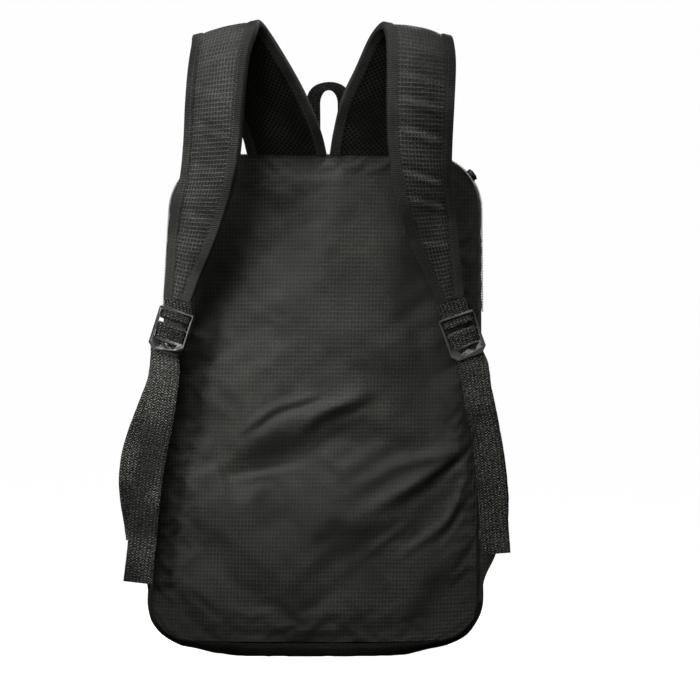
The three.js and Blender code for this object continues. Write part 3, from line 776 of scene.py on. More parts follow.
class PatternGroups:
    """Builds the shared shader node groups: they put out a mask and a height."""

    # Pitches in metres
    RIPSTOP_GRID = (0.0031, 0.0038)
    RIPSTOP_WEAVE = 0.0011
    WEBBING_CORD = 0.0032
    WEBBING_RIB = 0.0024
    AIR_MESH_HOLE = 0.0046
    TAPE_RIB = 0.0016
    TAPE_THREAD = 0.0012

    @classmethod
    def get(cls, pattern: Pattern) -> bpy.types.NodeTree:
        """The group of a pattern, made at its first use.

        Args:
            pattern: Which pattern.

        Returns:
            A shader node group with Vector in, Mask and Height out.
        """
        if pattern.value in bpy.data.node_groups:
            return bpy.data.node_groups[pattern.value]
        tree = bpy.data.node_groups.new(pattern.value, "ShaderNodeTree")
        tree.interface.new_socket(name="Vector", in_out="INPUT", socket_type="NodeSocketVector")
        for name in ("Mask", "Height"):
            tree.interface.new_socket(name=name, in_out="OUTPUT", socket_type="NodeSocketFloat")
        graph = Graph(tree)
        source = graph.add("NodeGroupInput")
        split = graph.add("ShaderNodeSeparateXYZ", Vector=source.outputs["Vector"])
        drawing = {
            Pattern.RIPSTOP: cls._ripstop,
            Pattern.WEBBING: cls._webbing,
            Pattern.AIR_MESH: cls._air_mesh,
            Pattern.TAPE: cls._tape,
        }[pattern]
        mask, height = drawing(graph, split.outputs["X"], split.outputs["Y"])
        graph.add("NodeGroupOutput", Mask=mask, Height=height)
        return tree

    @staticmethod
    def _wave(graph: Graph, value: object, pitch: float) -> bpy.types.NodeSocket:
        """A wave from 0 to 1 with a pitch in metres."""
        turned = graph.math("MULTIPLY", value, 2 * math.pi / pitch)
        return graph.math("MULTIPLY_ADD", graph.math("COSINE", turned), 0.5, 0.5)

    @classmethod
    def _ripstop(cls, graph: Graph, u: object, v: object) -> tuple:
        """A square grid of thicker threads over a fine plain weave."""
        pitches = zip((u, v), cls.RIPSTOP_GRID)
        ribs = [graph.math("POWER", cls._wave(graph, *pair), 3.5) for pair in pitches]
        grid = graph.math("MAXIMUM", *ribs)
        weave = [cls._wave(graph, way, cls.RIPSTOP_WEAVE) for way in (u, v)]
        fine = graph.math("MULTIPLY", *weave)
        threads = graph.math("MULTIPLY_ADD", fine, 0.35, grid)
        place = graph.add("ShaderNodeCombineXYZ", X=u, Y=v).outputs["Vector"]
        slub = graph.smooth(graph.noise(place, 620.0, 1.0), 0.3, 0.7)
        mask = graph.math("MULTIPLY", threads, graph.math("MULTIPLY_ADD", slub, 0.8, 0.3))
        return mask, threads

    @classmethod
    def _webbing(cls, graph: Graph, u: object, v: object) -> tuple:
        """Herringbone rows: slanted ribs that turn back in each column."""
        column = graph.math("PINGPONG", u, cls.WEBBING_CORD)
        slanted = graph.math("MULTIPLY_ADD", column, 0.9, v)
        ribs = graph.math("POWER", cls._wave(graph, slanted, cls.WEBBING_RIB), 1.6)
        cords = cls._wave(graph, u, cls.WEBBING_CORD)
        place = graph.add("ShaderNodeCombineXYZ", X=u, Y=v).outputs["Vector"]
        fibres = graph.smooth(graph.noise(place, 480.0, 1.0), 0.3, 0.7)
        woven = graph.math("MULTIPLY", ribs, graph.math("MULTIPLY_ADD", cords, 0.75, 0.25))
        mask = graph.math("MULTIPLY", woven, graph.math("MULTIPLY_ADD", fibres, 1.5, 0.1))
        return mask, mask

    @classmethod
    def _air_mesh(cls, graph: Graph, u: object, v: object) -> tuple:
        """Diagonal rows of holes in a thick knit."""
        first = cls._wave(graph, graph.math("ADD", u, v), cls.AIR_MESH_HOLE)
        second = cls._wave(graph, graph.math("SUBTRACT", u, v), cls.AIR_MESH_HOLE)
        holes = graph.smooth(graph.math("MULTIPLY", first, second), 0.14, 0.5)
        knit = graph.math("SUBTRACT", 1.0, holes)
        return knit, knit

    @classmethod
    def _tape(cls, graph: Graph, u: object, v: object) -> tuple:
        """Fine ribs across a binding tape."""
        ribs = cls._wave(graph, v, cls.TAPE_RIB)
        threads = cls._wave(graph, u, cls.TAPE_THREAD)
        mask = graph.math("MULTIPLY", ribs, graph.math("MULTIPLY_ADD", threads, 0.5, 0.5))
        return mask, mask


@dataclass(frozen=True)
class ClothFinish:
    """How a cloth looks: colours are linear, bump heights are metres."""

    name: str
    slot: str
    dark: tuple[float, float, float]
    light: tuple[float, float, float]
    pattern: Pattern
    contrast: float
    bump: float
    bump_height: float
    roughness: float
    specular: float
    fade: float = 0.2
    sheen: float = 0.0
    sheen_roughness: float = 0.4

    def material(self) -> bpy.types.Material:
        """The finish as a material.

        Returns:
            The material, made at its first use.
        """
        if self.name in bpy.data.materials:
            return bpy.data.materials[self.name]
        made = bpy.data.materials.new(self.name)
        made.use_nodes = True
        made.node_tree.nodes.clear()
        graph = Graph(made.node_tree)
        place = graph.add("ShaderNodeUVMap", uv_map=UV_NAME).outputs["UV"]
        spot = graph.add("ShaderNodeTexCoord").outputs["Object"]
        pattern = graph.add("ShaderNodeGroup", node_tree=PatternGroups.get(self.pattern))
        graph.feed(pattern.inputs["Vector"], place)
        worn = graph.smooth(graph.noise(spot, 9.0, 3.0), 0.3, 0.75)
        patch = graph.smooth(graph.noise(spot, 22.0, 2.0), 0.35, 0.65)
        strength = graph.math("MULTIPLY_ADD", patch, self.contrast, self.contrast / 2)
        mask = graph.math("MULTIPLY", pattern.outputs["Mask"], strength)
        woven = graph.mix(mask, (*self.dark, 1), (*self.light, 1))
        cloud = graph.math("MULTIPLY_ADD", worn, self.fade, 1 - self.fade / 2)
        fuzz = graph.math("MULTIPLY_ADD", graph.noise(spot, 420.0), 0.5, 0.75)
        shade = graph.math("MULTIPLY", cloud, fuzz)
        colour = graph.add("ShaderNodeMix", data_type="RGBA", blend_type="MULTIPLY")
        colour.inputs["Factor"].default_value = 1.0
        graph.feed(colour.inputs[6], woven)
        grey = graph.add("ShaderNodeCombineColor", Red=shade, Green=shade, Blue=shade)
        graph.feed(colour.inputs[7], grey.outputs["Color"])
        bump = graph.add("ShaderNodeBump", Strength=self.bump, Distance=self.bump_height)
        graph.feed(bump.inputs["Height"], pattern.outputs["Height"])
        rough = graph.math("MULTIPLY_ADD", worn, 0.12, self.roughness - 0.06)
        shader = graph.add("ShaderNodeBsdfPrincipled")
        graph.feed(shader.inputs["Base Color"], colour.outputs[2])
        graph.feed(shader.inputs["Roughness"], rough)
        graph.feed(shader.inputs["Normal"], bump.outputs["Normal"])
        shader.inputs["Specular IOR Level"].default_value = self.specular
        shader.inputs["Sheen Weight"].default_value = self.sheen
        shader.inputs["Sheen Roughness"].default_value = self.sheen_roughness
        graph.add("ShaderNodeOutputMaterial", Surface=shader.outputs["BSDF"])
        return made


@dataclass(frozen=True)
class HardFinish:
    """How a moulded or coated hard piece looks."""

    name: str
    slot: str
    colour: tuple[float, float, float]
    roughness: float
    metallic: float
    grain: float
    specular: float = 0.5

    def material(self) -> bpy.types.Material:
        """The finish as a material.

        Returns:
            The material, made at its first use.
        """
        if self.name in bpy.data.materials:
            return bpy.data.materials[self.name]
        made = bpy.data.materials.new(self.name)
        made.use_nodes = True
        made.node_tree.nodes.clear()
        graph = Graph(made.node_tree)
        spot = graph.add("ShaderNodeTexCoord").outputs["Object"]
        grain = graph.noise(spot, 1800.0, 2.0)
        wear = graph.smooth(graph.noise(spot, 140.0, 4.0), 0.35, 0.8)
        bump = graph.add("ShaderNodeBump", Strength=self.grain, Distance=0.00006)
        graph.feed(bump.inputs["Height"], grain)
        dark = tuple(channel * 0.75 for channel in self.colour)
        colour = graph.mix(wear, (*dark, 1), (*self.colour, 1))
        rough = graph.math("MULTIPLY_ADD", wear, 0.14, self.roughness - 0.05)
        shader = graph.add("ShaderNodeBsdfPrincipled")
        graph.feed(shader.inputs["Base Color"], colour)
        graph.feed(shader.inputs["Roughness"], rough)
        graph.feed(shader.inputs["Normal"], bump.outputs["Normal"])
        shader.inputs["Metallic"].default_value = self.metallic
        shader.inputs["Specular IOR Level"].default_value = self.specular
        graph.add("ShaderNodeOutputMaterial", Surface=shader.outputs["BSDF"])
        return made


Finish = ClothFinish | HardFinish

RIPSTOP = ClothFinish(
    name="ripstop_cloth", slot="cloth", pattern=Pattern.RIPSTOP,
    dark=(0.0098, 0.01, 0.0083), light=(0.026, 0.0264, 0.0223),
    contrast=0.9, bump=0.5, bump_height=0.0003, roughness=0.62, specular=0.16,
    fade=0.3,
)
STRAP_RIPSTOP = ClothFinish(
    name="strap_ripstop_cloth", slot="cloth", pattern=Pattern.RIPSTOP,
    dark=(0.0075, 0.0076, 0.0066), light=(0.064, 0.0648, 0.058),
    contrast=0.85, bump=0.9, bump_height=0.0005, roughness=0.6, specular=0.25,
    fade=0.35,
)
TAPE = ClothFinish(
    name="binding_cloth", slot="binding_tape", pattern=Pattern.TAPE,
    dark=(0.0045, 0.0046, 0.0039), light=(0.056, 0.0565, 0.0495),
    contrast=0.9, bump=0.8, bump_height=0.0004, roughness=0.75, specular=0.15,
)
AIR_MESH = ClothFinish(
    name="air_mesh_cloth", slot="air_mesh", pattern=Pattern.AIR_MESH,
    dark=(0.0002, 0.0002, 0.0001), light=(0.019, 0.0194, 0.0158),
    contrast=1.0, bump=1.0, bump_height=0.0014, roughness=0.9, specular=0.1,
)
WEBBING = ClothFinish(
    name="webbing_cloth", slot="webbing", pattern=Pattern.WEBBING,
    dark=(0.0005, 0.0005, 0.0004), light=(0.16, 0.161, 0.14),
    contrast=1.0, bump=1.0, bump_height=0.0007, roughness=0.7, specular=0.15,
)
LOOP_WEBBING = ClothFinish(
    name="loop_webbing_cloth", slot="webbing", pattern=Pattern.WEBBING,
    dark=(0.0004, 0.0004, 0.0003), light=(0.03, 0.03, 0.026),
    contrast=1.0, bump=1.0, bump_height=0.0007, roughness=0.75, specular=0.1,
)
ZIP_CLOTH = ClothFinish(
    name="zip_tape_cloth", slot="zip_cloth", pattern=Pattern.TAPE,
    dark=(0.004, 0.004, 0.004), light=(0.016, 0.016, 0.0155),
    contrast=0.6, bump=0.5, bump_height=0.0003, roughness=0.8, specular=0.2,
    sheen=0.05, sheen_roughness=0.5,
)
THREAD = HardFinish(
    name="thread", slot="binding_tape",
    colour=(0.04, 0.039, 0.036), roughness=0.6,
    metallic=0.0, grain=0.2,
)
COIL = HardFinish(
    name="coil_plastic", slot="zip_cloth",
    colour=(0.012, 0.012, 0.012), roughness=0.4,
    metallic=0.0, grain=0.1,
)
LOCK_PLASTIC = HardFinish(
    name="moulded_plastic", slot="lock_plastic",
    colour=(0.006, 0.006, 0.0055), roughness=0.36,
    metallic=0.0, grain=0.35, specular=0.45,
)
SLIDER_METAL = HardFinish(
    name="slider_enamel", slot="slider_metal",
    colour=(0.03, 0.03, 0.03), roughness=0.35,
    metallic=0.6, grain=0.15,
)


@dataclass
class Workshop:
    """Finishes pieces: gives each its material and its body, and hides the nodes that it stands for."""

    nodes: dict[str, bpy.types.Object]
    made: list[str] = field(default_factory=list)

    def softened(self, name: str, node: str, radius: float) -> bpy.types.Object:
        """A copy of a solid node with its edges rounded over.

        Args:
            name: The copy's name.
            node: The node.
            radius: How far its edges are rounded, in millimetres.

        Returns:
            The new object.
        """
        mesh = self.nodes[node].data.copy()
        mesh.name = name
        piece = MeshMaker.link(name, mesh)
        work = bmesh.new()
        work.from_mesh(mesh)
        bmesh.ops.remove_doubles(work, verts=work.verts, dist=1e-6)
        flat = math.radians(2)
        bmesh.ops.dissolve_limit(work, angle_limit=flat, verts=work.verts, edges=work.edges)
        sharp = [edge for edge in work.edges if edge.calc_face_angle(0) > math.radians(35)]
        bmesh.ops.bevel(
            work, geom=sharp, offset=radius * MM, segments=3, affect="EDGES", clamp_overlap=True
        )
        work.to_mesh(mesh)
        work.free()
        mesh.shade_smooth()
        mesh.set_sharp_from_angle(angle=math.radians(50))
        return piece

    def finish(
        self, piece: bpy.types.Object, finish: Finish, *nodes: str, keep: bool = False
    ) -> bpy.types.Object:
        """Makes a piece part of the object.

        Args:
            piece: The mesh object.
            finish: Its finish.
            *nodes: The solid nodes that it stands for.
            keep: Leaves the piece's own materials.

        Returns:
            The piece.
        """
        if not keep:
            piece.data.materials.clear()
            piece.data.materials.append(finish.material())
        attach(piece, BODY)
        if nodes:
            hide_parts(*nodes)
        self.made.append(piece.name)
        LOG.info("%s: %d faces for %s", piece.name, len(piece.data.polygons), nodes or "trim")
        return piece


# The bag's body


class BagForm:
    """The outline and swell of the bag's body."""

    def __init__(self, sizes: BagSizes) -> None:
        """Keeps the sizes and lays out the side seam's outline."""
        self.sizes = sizes
        low = np.radians(np.linspace(0, 90, 13))
        high = np.radians(np.linspace(0, 90, 17))
        s = sizes
        start, end = s.seam_rise + s.corner_low, s.height - s.corner_high
        middle = np.linspace(start, end, 84)[1:-1]
        tilt = math.atan2(s.half_width_low - s.half_width_high, s.height - s.seam_rise)
        self.rim_z = np.concatenate([
            s.seam_rise + s.corner_low * (1 - np.cos(low)), middle,
            s.height - s.corner_high * (1 - np.sin(high)),
        ])
        self.rim_nx = np.concatenate([np.sin(low), np.full(len(middle), math.cos(tilt)), np.cos(high)])
        self.rim_nz = np.concatenate([-np.cos(low), np.full(len(middle), math.sin(tilt)), np.sin(high)])

    def half_width(self, z: Array) -> Array:
        """Half the width between the side seams at a height."""
        s = self.sizes
        straight = lerp(s.half_width_low, s.half_width_high, (z - s.seam_rise) / (s.height - s.seam_rise))
        below = np.clip(s.seam_rise + s.corner_low - z, 0, s.corner_low)
        above = np.clip(z - (s.height - s.corner_high), 0, s.corner_high)
        cut_low = s.corner_low - np.sqrt(s.corner_low**2 - below**2)
        cut_high = s.corner_high - np.sqrt(s.corner_high**2 - above**2)
        return straight - cut_low - cut_high

    def lean_at(self, z: Array) -> Array:
        """How far the bag leans to the right at a height."""
        return self.sizes.lean * z / self.sizes.height

    def settled(self, points: Array, floor: float) -> Array:
        """Where points of the evenly made bag lie once it stands.

        Args:
            points: Places, in millimetres.
            floor: The lowest that they may be.

        Returns:
            The places, lifted at the floor's corners and leaning.
        """
        s = self.sizes
        outward = (points[..., 0] / s.half_width_low) ** 4
        near = np.maximum(0, 1 - points[..., 2] / s.corner_lift_height) ** 2
        z = np.maximum(points[..., 2] + s.corner_lift * outward * near, floor)
        return np.stack([points[..., 0] + self.lean_at(z), points[..., 1], z], axis=-1)

    def side_rows(self, side: int, low: float, high: float) -> Array:
        """Rows of the gusset up one side.

        Args:
            side: -1 or 1.
            low: Where they start.
            high: Where they end.

        Returns:
            Columns x, z, outward x, outward z, bulge and power of each row.
        """
        s = self.sizes
        inside = self.rim_z[(self.rim_z > low + 0.05) & (self.rim_z < high - 0.05)]
        z = np.concatenate([[low], inside, [high]])
        nx = np.interp(z, self.rim_z, self.rim_nx)
        nz = np.interp(z, self.rim_z, self.rim_nz)
        sides = lerp(s.side_bulge_low, s.side_bulge_high, (z - s.seam_rise) / (s.height - s.seam_rise))
        ends = np.where(nz < 0, s.corner_bulge, s.top_bulge)
        power = np.where(nz < 0, lerp(2.0, s.bottom_power, nz**2), 2.0)
        bulge = np.hypot(sides * nx, ends * nz)
        return np.stack([side * self.half_width(z), z, side * nx, nz, bulge, power], axis=-1)

    def end_rows(self, z: float, nz: float, middle: float, end: float, power: float) -> Array:
        """Rows of the gusset along the top or the bottom, from right to left.

        Args:
            z: Their height.
            nz: 1 at the top, -1 at the bottom.
            middle: The bulge in the middle.
            end: The bulge at both ends.
            power: How square the section is.

        Returns:
            The same columns as side_rows.
        """
        across = np.linspace(1, -1, 66)[1:-1]
        count = len(across)
        x = across * float(self.half_width(np.array(z)))
        columns = [x, np.full(count, z), np.zeros(count), np.full(count, nz)]
        columns += [lerp(middle, end, across**2), np.full(count, power)]
        return np.stack(columns, axis=-1)

    def strip(
        self, rows: Array, start: float, end: float, columns: int, lift: float, depth: float,
        relief: Callable[[Array, Array], Array] | None = None,
    ) -> tuple[Grid, Array]:
        """A strip of the gusset between two shares of its depth.

        Args:
            rows: From side_rows and end_rows.
            start: Share of the depth at its back edge.
            end: Share of the depth at its front edge.
            columns: How many columns of points.
            lift: How far it lies off the gusset's own surface.
            depth: Its thickness.
            relief: Height of its ripples at (run along, distance across).

        Returns:
            The outer grid and the inner points.
        """
        s = self.sizes
        share = np.linspace(start, end, columns)
        x, z, nx, nz, bulge, power = (rows[:, k, None] for k in range(6))
        swell = bulge * (1 - np.abs(2 * share - 1) ** power)
        steps = np.hypot(np.diff(rows[:, 0]), np.diff(rows[:, 1]))
        run = np.concatenate([[0], np.cumsum(steps)])[:, None] + 0 * share
        y = lerp(s.back_y, s.front_y, share) + 0 * x
        ripple = relief(run, y) if relief else 0.0

        def surface(sink: float) -> Array:
            """The strip's points at a depth below its outer surface."""
            out = swell + lift + ripple - sink
            return self.settled(np.stack([x + nx * out, y, z + nz * out], axis=-1), sink)

        weave = np.stack([run * MM, y * MM], axis=-1)
        return Grid(surface(0), weave), surface(depth)


def seam_puckers(
    seed: int, depth: float, pitch: float, reach: float, lines: Sequence[float]
) -> Callable[[Array, Array], Array]:
    """A relief of small ripples that stand off seams.

    Args:
        seed: Fixes the ripples.
        depth: Their height, in millimetres.
        pitch: Their wavelength along the seam.
        reach: How far from the seam they die away.
        lines: Where the seams are, across the strip.

    Returns:
        A function of (run along, place across).
    """
    noise = SmoothNoise(seed, pitch)

    def relief(run: Array, across: Array) -> Array:
        """The height of the ripples at places of the strip."""
        away = np.min([np.abs(across - line) for line in lines], axis=0)
        near = (away / reach) * np.exp(1 - away / reach)
        return depth * near * noise.at(run, across * 0.35)

    return relief


class ClothRelaxer:
    """Lets a pinned sheet that is cut a little too large find its own wrinkles."""

    def __init__(self, growth: float, frames: int, cap: float) -> None:
        """Keeps the settings.

        Args:
            growth: Share by which the cloth is larger than its frame.
            frames: How many steps it settles for.
            cap: The most that a point may move, in millimetres.
        """
        self.growth = growth
        self.frames = frames
        self.cap = cap

    def relax(self, points: Array, pinned: Array) -> Array:
        """Runs the simulation.

        Args:
            points: A grid of places, in millimetres.
            pinned: Which of them stay where they are.
        """
        rows, columns = points.shape[:2]
        at = np.arange(rows * columns).reshape(rows, columns)
        quads = np.stack([at[:-1, :-1], at[:-1, 1:], at[1:, 1:], at[1:, :-1]], axis=-1)
        mesh = bpy.data.meshes.new("relaxing")
        mesh.from_pydata((points.reshape(-1, 3) * MM).tolist(), [], quads.reshape(-1, 4).tolist())
        sheet = MeshMaker.link("relaxing", mesh)
        pins = sheet.vertex_groups.new(name="pins")
        pins.add(at[pinned].tolist(), 1.0, "REPLACE")
        cloth = sheet.modifiers.new("cloth", "CLOTH")
        settings = cloth.settings
        settings.quality = 6
        settings.mass = 0.1
        settings.tension_stiffness = 40
        settings.compression_stiffness = 40
        settings.shear_stiffness = 12
        settings.bending_stiffness = 0.25
        settings.air_damping = 6
        settings.vertex_group_mass = pins.name
        settings.shrink_min = -self.growth
        settings.effector_weights.gravity = 0
        cloth.collision_settings.use_collision = False
        cloth.point_cache.frame_end = self.frames + 1
        scene = bpy.context.scene
        for frame in range(1, self.frames + 1):
            scene.frame_set(frame)
        graph = bpy.context.evaluated_depsgraph_get()
        settled = sheet.evaluated_get(graph)
        places = np.array([vertex.co[:] for vertex in settled.data.vertices]) / MM
        scene.frame_set(1)
        bpy.data.objects.remove(sheet)
        move = places.reshape(points.shape) - points
        length = np.linalg.norm(move, axis=-1, keepdims=True)
        return points + move * np.minimum(1, self.cap / np.maximum(length, 1e-6))


class BagBody:
    """The cloth body: both panels, the gusset's pieces, the zip and its slider."""

    PANEL_ROWS = 170
    PANEL_COLUMNS = 121
    # Seed, wavelength and height of a panel's soft waves, and the same with the reach
    # of the puckers along its seams
    PANEL_WAVES = ((11, 62, 0.9), (23, 24, 0.35))
    SEAM_WAVES = (31, 13, 0.5, 9)
    # Sharp creases of the back panel: from (x, z) to (x, z), height, width and kind. A
    # fold is raised on the left of its way and hollow on the right.
    BACK_CREASES = (
        (-60, 208, -39, 223, 2.4, 4.5, Crease.FOLD),
        (-39, 223, -4, 234, 2.2, 4.5, Crease.FOLD),
        (-17, 204, 0, 220, 2.0, 6.5, Crease.RIDGE),
        (0, 220, 32, 235, 2.9, 5.5, Crease.RIDGE),
        (14, 215, 43, 229, 1.4, 5.0, Crease.HOLLOW),
        (-94, 177, -80, 150, 1.7, 6.0, Crease.RIDGE),
        (-89, 181, -77, 157, 2.2, 2.6, Crease.HOLLOW),
        (-78, 163, -25, 172, -0.9, 4.5, Crease.FOLD),
        (-64, 213, -27, 249, 1.2, 9.0, Crease.RIDGE),
        (25, 150, 69, 174, 1.4, 7.0, Crease.RIDGE),
        (69, 174, 131, 188, 2.2, 6.0, Crease.RIDGE),
        (135, 186, 111, 166, 2.8, 3.6, Crease.HOLLOW),
        (116, 177, 78, 152, 2.4, 5.0, Crease.RIDGE),
        (78, 152, 40, 132, 1.3, 6.0, Crease.RIDGE),
        (118, 166, 74, 136, 2.4, 6.5, Crease.HOLLOW),
        (135, 174, 130, 150, 2.4, 4.5, Crease.RIDGE),
        (130, 150, 117, 123, 2.7, 4.5, Crease.RIDGE),
        (117, 123, 79, 95, 2.3, 4.5, Crease.RIDGE),
        (135, 138, 111, 107, 1.8, 5.0, Crease.HOLLOW),
        (82, 123, 45, 93, 1.2, 4.5, Crease.RIDGE),
        (58, 246, 122, 206, 2.6, 20.0, Crease.HOLLOW),
        (144, 76, 126, 51, 1.2, 5.0, Crease.RIDGE),
        (17, 443, 17, 390, 1.3, 18.0, Crease.RIDGE),
        (-63, 430, -22, 408, 0.9, 8.0, Crease.RIDGE),
        (-20, 60, -50, 120, 1.0, 22.0, Crease.RIDGE),
    )

    def __init__(self, sizes: BagSizes, shop: Workshop) -> None:
        """Keeps the sizes and the workshop."""
        self.sizes = sizes
        self.form = BagForm(sizes)
        self.shop = shop

    def build(self) -> None:
        """Makes every piece of the body."""
        self._panel("back_cloth", "back_panel", -1)
        self._panel("front_cloth", "front_panel", 1)
        self._bottom()
        self._sides()
        self._zip()
        self._slider()

    def _main_folds(self, x: Array, z: Array) -> Array:
        """The folds that the solid back panel has too."""
        s = self.sizes
        total = np.zeros_like(x)
        for across, up, across2, up2, height, spread in MAIN_FOLDS:
            start = np.array([across * s.half_width_low, up * s.height])
            way = np.array([across2 * s.half_width_low, up2 * s.height]) - start
            share = ((x - start[0]) * way[0] + (z - start[1]) * way[1]) / (way @ way)
            inside = np.clip(share, 0, 1)
            away = np.hypot(x - start[0] - way[0] * inside, z - start[1] - way[1] * inside)
            total += height * s.back_crown * np.exp(-((away / (spread * s.half_width_low)) ** 2))
        return total

    def _panel(self, name: str, node: str, side: int) -> None:
        """Makes one panel.

        Args:
            name: The piece's name.
            node: The solid node that it stands for.
            side: -1 on the wearer's side, 1 on the far side.
        """
        s = self.sizes
        rows = self.form.rim_z
        places = np.linspace(0, len(rows) - 1, self.PANEL_ROWS)
        fine = np.interp(places, np.arange(len(rows)), rows)
        across = np.sin(np.pi / 2 * np.linspace(-1, 1, self.PANEL_COLUMNS))
        z = fine[:, None] + 0 * across
        x = across * self.form.half_width(z)
        crown, heaviest = (
            (s.back_crown, s.back_heaviest) if side < 0 else (s.front_crown, s.front_heaviest)
        )
        up = (z - s.seam_rise) / (s.height - s.seam_rise)
        away = np.where(up < heaviest, 1 - up / heaviest, (up - heaviest) / (1 - heaviest))
        swell = np.maximum(1 - away**3, 0) * (1 - across**2)
        relief = self._main_folds(x, z) if side < 0 else 0.0
        out = swell * (crown + relief * np.minimum(1, swell * 3))
        edge = np.minimum(1, swell * 4)
        if side < 0:
            out = out + edge * crease_height(x, z, self.BACK_CREASES)
        for seed, wavelength, height in self.PANEL_WAVES:
            out = out + edge * height * SmoothNoise(seed + side, wavelength).at(x, z)
        seam = np.minimum(self.form.half_width(z) - np.abs(x), np.minimum(z - s.seam_rise, s.height - z))
        seed, wavelength, height, reach = self.SEAM_WAVES
        near = (seam / reach) * np.exp(1 - seam / reach)
        out = out + height * near * SmoothNoise(seed + side, wavelength).at(x, z)
        out = np.maximum(out, 0.0)
        seam_y = s.back_y if side < 0 else s.front_y

        def surface(depth: float) -> Array:
            """The panel's points at a depth below its outer surface."""
            y = seam_y + side * (out - depth)
            return self.form.settled(np.stack([x, y, z], axis=-1), 0.0)

        outer = surface(0)
        pinned = np.zeros(outer.shape[:2], dtype=bool)
        pinned[[0, -1], :] = True
        pinned[:, [0, -1]] = True
        relaxed = ClothRelaxer(growth=0.008, frames=16, cap=3.0).relax(outer, pinned)
        relaxed[..., 1] = np.where(side < 0, np.minimum(relaxed[..., 1], seam_y),
                                   np.maximum(relaxed[..., 1], seam_y))
        inner = relaxed + (surface(s.wall) - outer)
        piece = MeshMaker.shell(name, Grid(relaxed, np.stack([x, z], axis=-1) * MM), inner)
        self.shop.finish(piece, RIPSTOP, node)

    def _bottom(self) -> None:
        """Makes the bottom of the gusset, flattened where it stands."""
        s, form = self.sizes, self.form
        top = s.seam_rise + s.corner_low - s.seam_gap
        right = form.side_rows(1, s.seam_rise, top)[::-1]
        left = form.side_rows(-1, s.seam_rise, top)
        floor = form.end_rows(s.seam_rise, -1, s.bottom_bulge, s.corner_bulge, s.bottom_power)
        rows = np.concatenate([right, floor, left])
        self._strip("bottom_cloth", "bottom_panel", rows, self._edge, 1 - self._edge, 41, 41)

    def _sides(self) -> None:
        """Makes both sides, from the lower corners to the zip's ends."""
        s = self.sizes
        for side in Side:
            rows = self.form.side_rows(side.value, s.seam_rise + s.corner_low, s.zip_end)
            name = f"side_cloth_{side.label}"
            node = f"side_gusset_{side.label}"
            self._strip(name, node, rows, self._edge, 1 - self._edge, 41, 43 + side.value)

    @property
    def _edge(self) -> float:
        """The share of the depth that the panels' own edges take."""
        return (self.sizes.wall + self.sizes.seam_gap) / self.sizes.depth

    def _strip(
        self, name: str, node: str, rows: Array, start: float, end: float, columns: int, seed: int
    ) -> None:
        """Makes one cloth strip of the gusset.

        Args:
            name: The piece's name.
            node: The solid node that it stands for.
            rows: Its rows.
            start: Share of the depth at its back edge.
            end: Share of the depth at its front edge.
            columns: Columns of points across it.
            seed: Fixes its ripples.
        """
        s = self.sizes
        lines = [lerp(s.back_y, s.front_y, share) for share in (start, end)]
        relief = seam_puckers(seed, 0.7, 17, 8, lines)
        grid, inner = self.form.strip(rows, start, end, columns, 0, s.wall, relief)
        self.shop.finish(MeshMaker.shell(name, grid, inner), RIPSTOP, node)

    def _zip(self) -> None:
        """Makes the strips, the tape and the coil of the zip."""
        s, form = self.sizes, self.form
        start = s.zip_end + s.seam_gap
        right = form.side_rows(1, start, s.height)
        left = form.side_rows(-1, start, s.height)[::-1]
        rows = np.concatenate([right, form.end_rows(s.height, 1, s.top_bulge, s.top_bulge, 2), left])
        half = s.zip_gap / 2 / s.depth
        gap = s.seam_gap / s.depth
        back = (self._edge, s.zip_place - half)
        front = (s.zip_place + half, 1 - self._edge)
        self._strip("zip_cloth_back", "zip_strip_back", rows, *back, 23, 51)
        self._strip("zip_cloth_front", "zip_strip_front", rows, *front, 29, 53)
        ends = (s.zip_place - half + gap, s.zip_place + half - gap)
        grid, inner = form.strip(rows, *ends, 9, s.tape_lift, s.tape_thickness)
        self.shop.finish(MeshMaker.shell("zip_tape_cloth", grid, inner), ZIP_CLOTH, "zip_tape")
        middle = s.tape_lift + s.seam_gap + s.coil_height / 2
        spread = 0.4 / s.depth
        line, _ = form.strip(rows, s.zip_place - spread, s.zip_place + spread, 3, middle, 0)
        points = line.points[:, 1]
        away = unit(np.cross(np.gradient(points, axis=0), line.points[:, 2] - line.points[:, 0]))
        outward = np.stack([rows[:, 2], 0 * rows[:, 0], rows[:, 3]], axis=-1)
        up = away * np.sign(np.sum(away * outward, axis=-1, keepdims=True))
        tooth = Repeat(
            pitch=1.5, across=s.coil_width - 2 * s.coil_inset, height=s.coil_height - s.coil_inset,
            along=1.15, segments=10, rings=6,
        )
        coil = RepeatRow(tooth, COIL.material()).grow("zip_teeth", [(points, up)])
        self.shop.finish(coil, COIL, "zip_coil")

    def _slider(self) -> None:
        """Makes the slider with softened edges."""
        slider = self.shop.softened("slider_body", "zip_slider", 0.35)
        self.shop.finish(slider, SLIDER_METAL, "zip_slider")


# The straps


@dataclass
class Sections:
    """Sections along a strap or tape: one row of each array for each section."""

    centre: Array
    across: Array
    out: Array
    half: Array
    loft: Array

    def at(self, across: Array, out: Array) -> Array:
        """Places by their distance across the sections and off them.

        Args:
            across: Distances along the width, one row for each section.
            out: Distances outward, which the loft scales.

        Returns:
            The places.
        """
        aside = self.across[:, None] * across[..., None]
        off = self.out[:, None] * (out * self.loft[:, None])[..., None]
        return self.centre[:, None] + aside + off

    @property
    def run(self) -> Array:
        """The length along the centres up to each section."""
        steps = np.linalg.norm(np.diff(self.centre, axis=0), axis=-1)
        return np.concatenate([[0], np.cumsum(steps)])


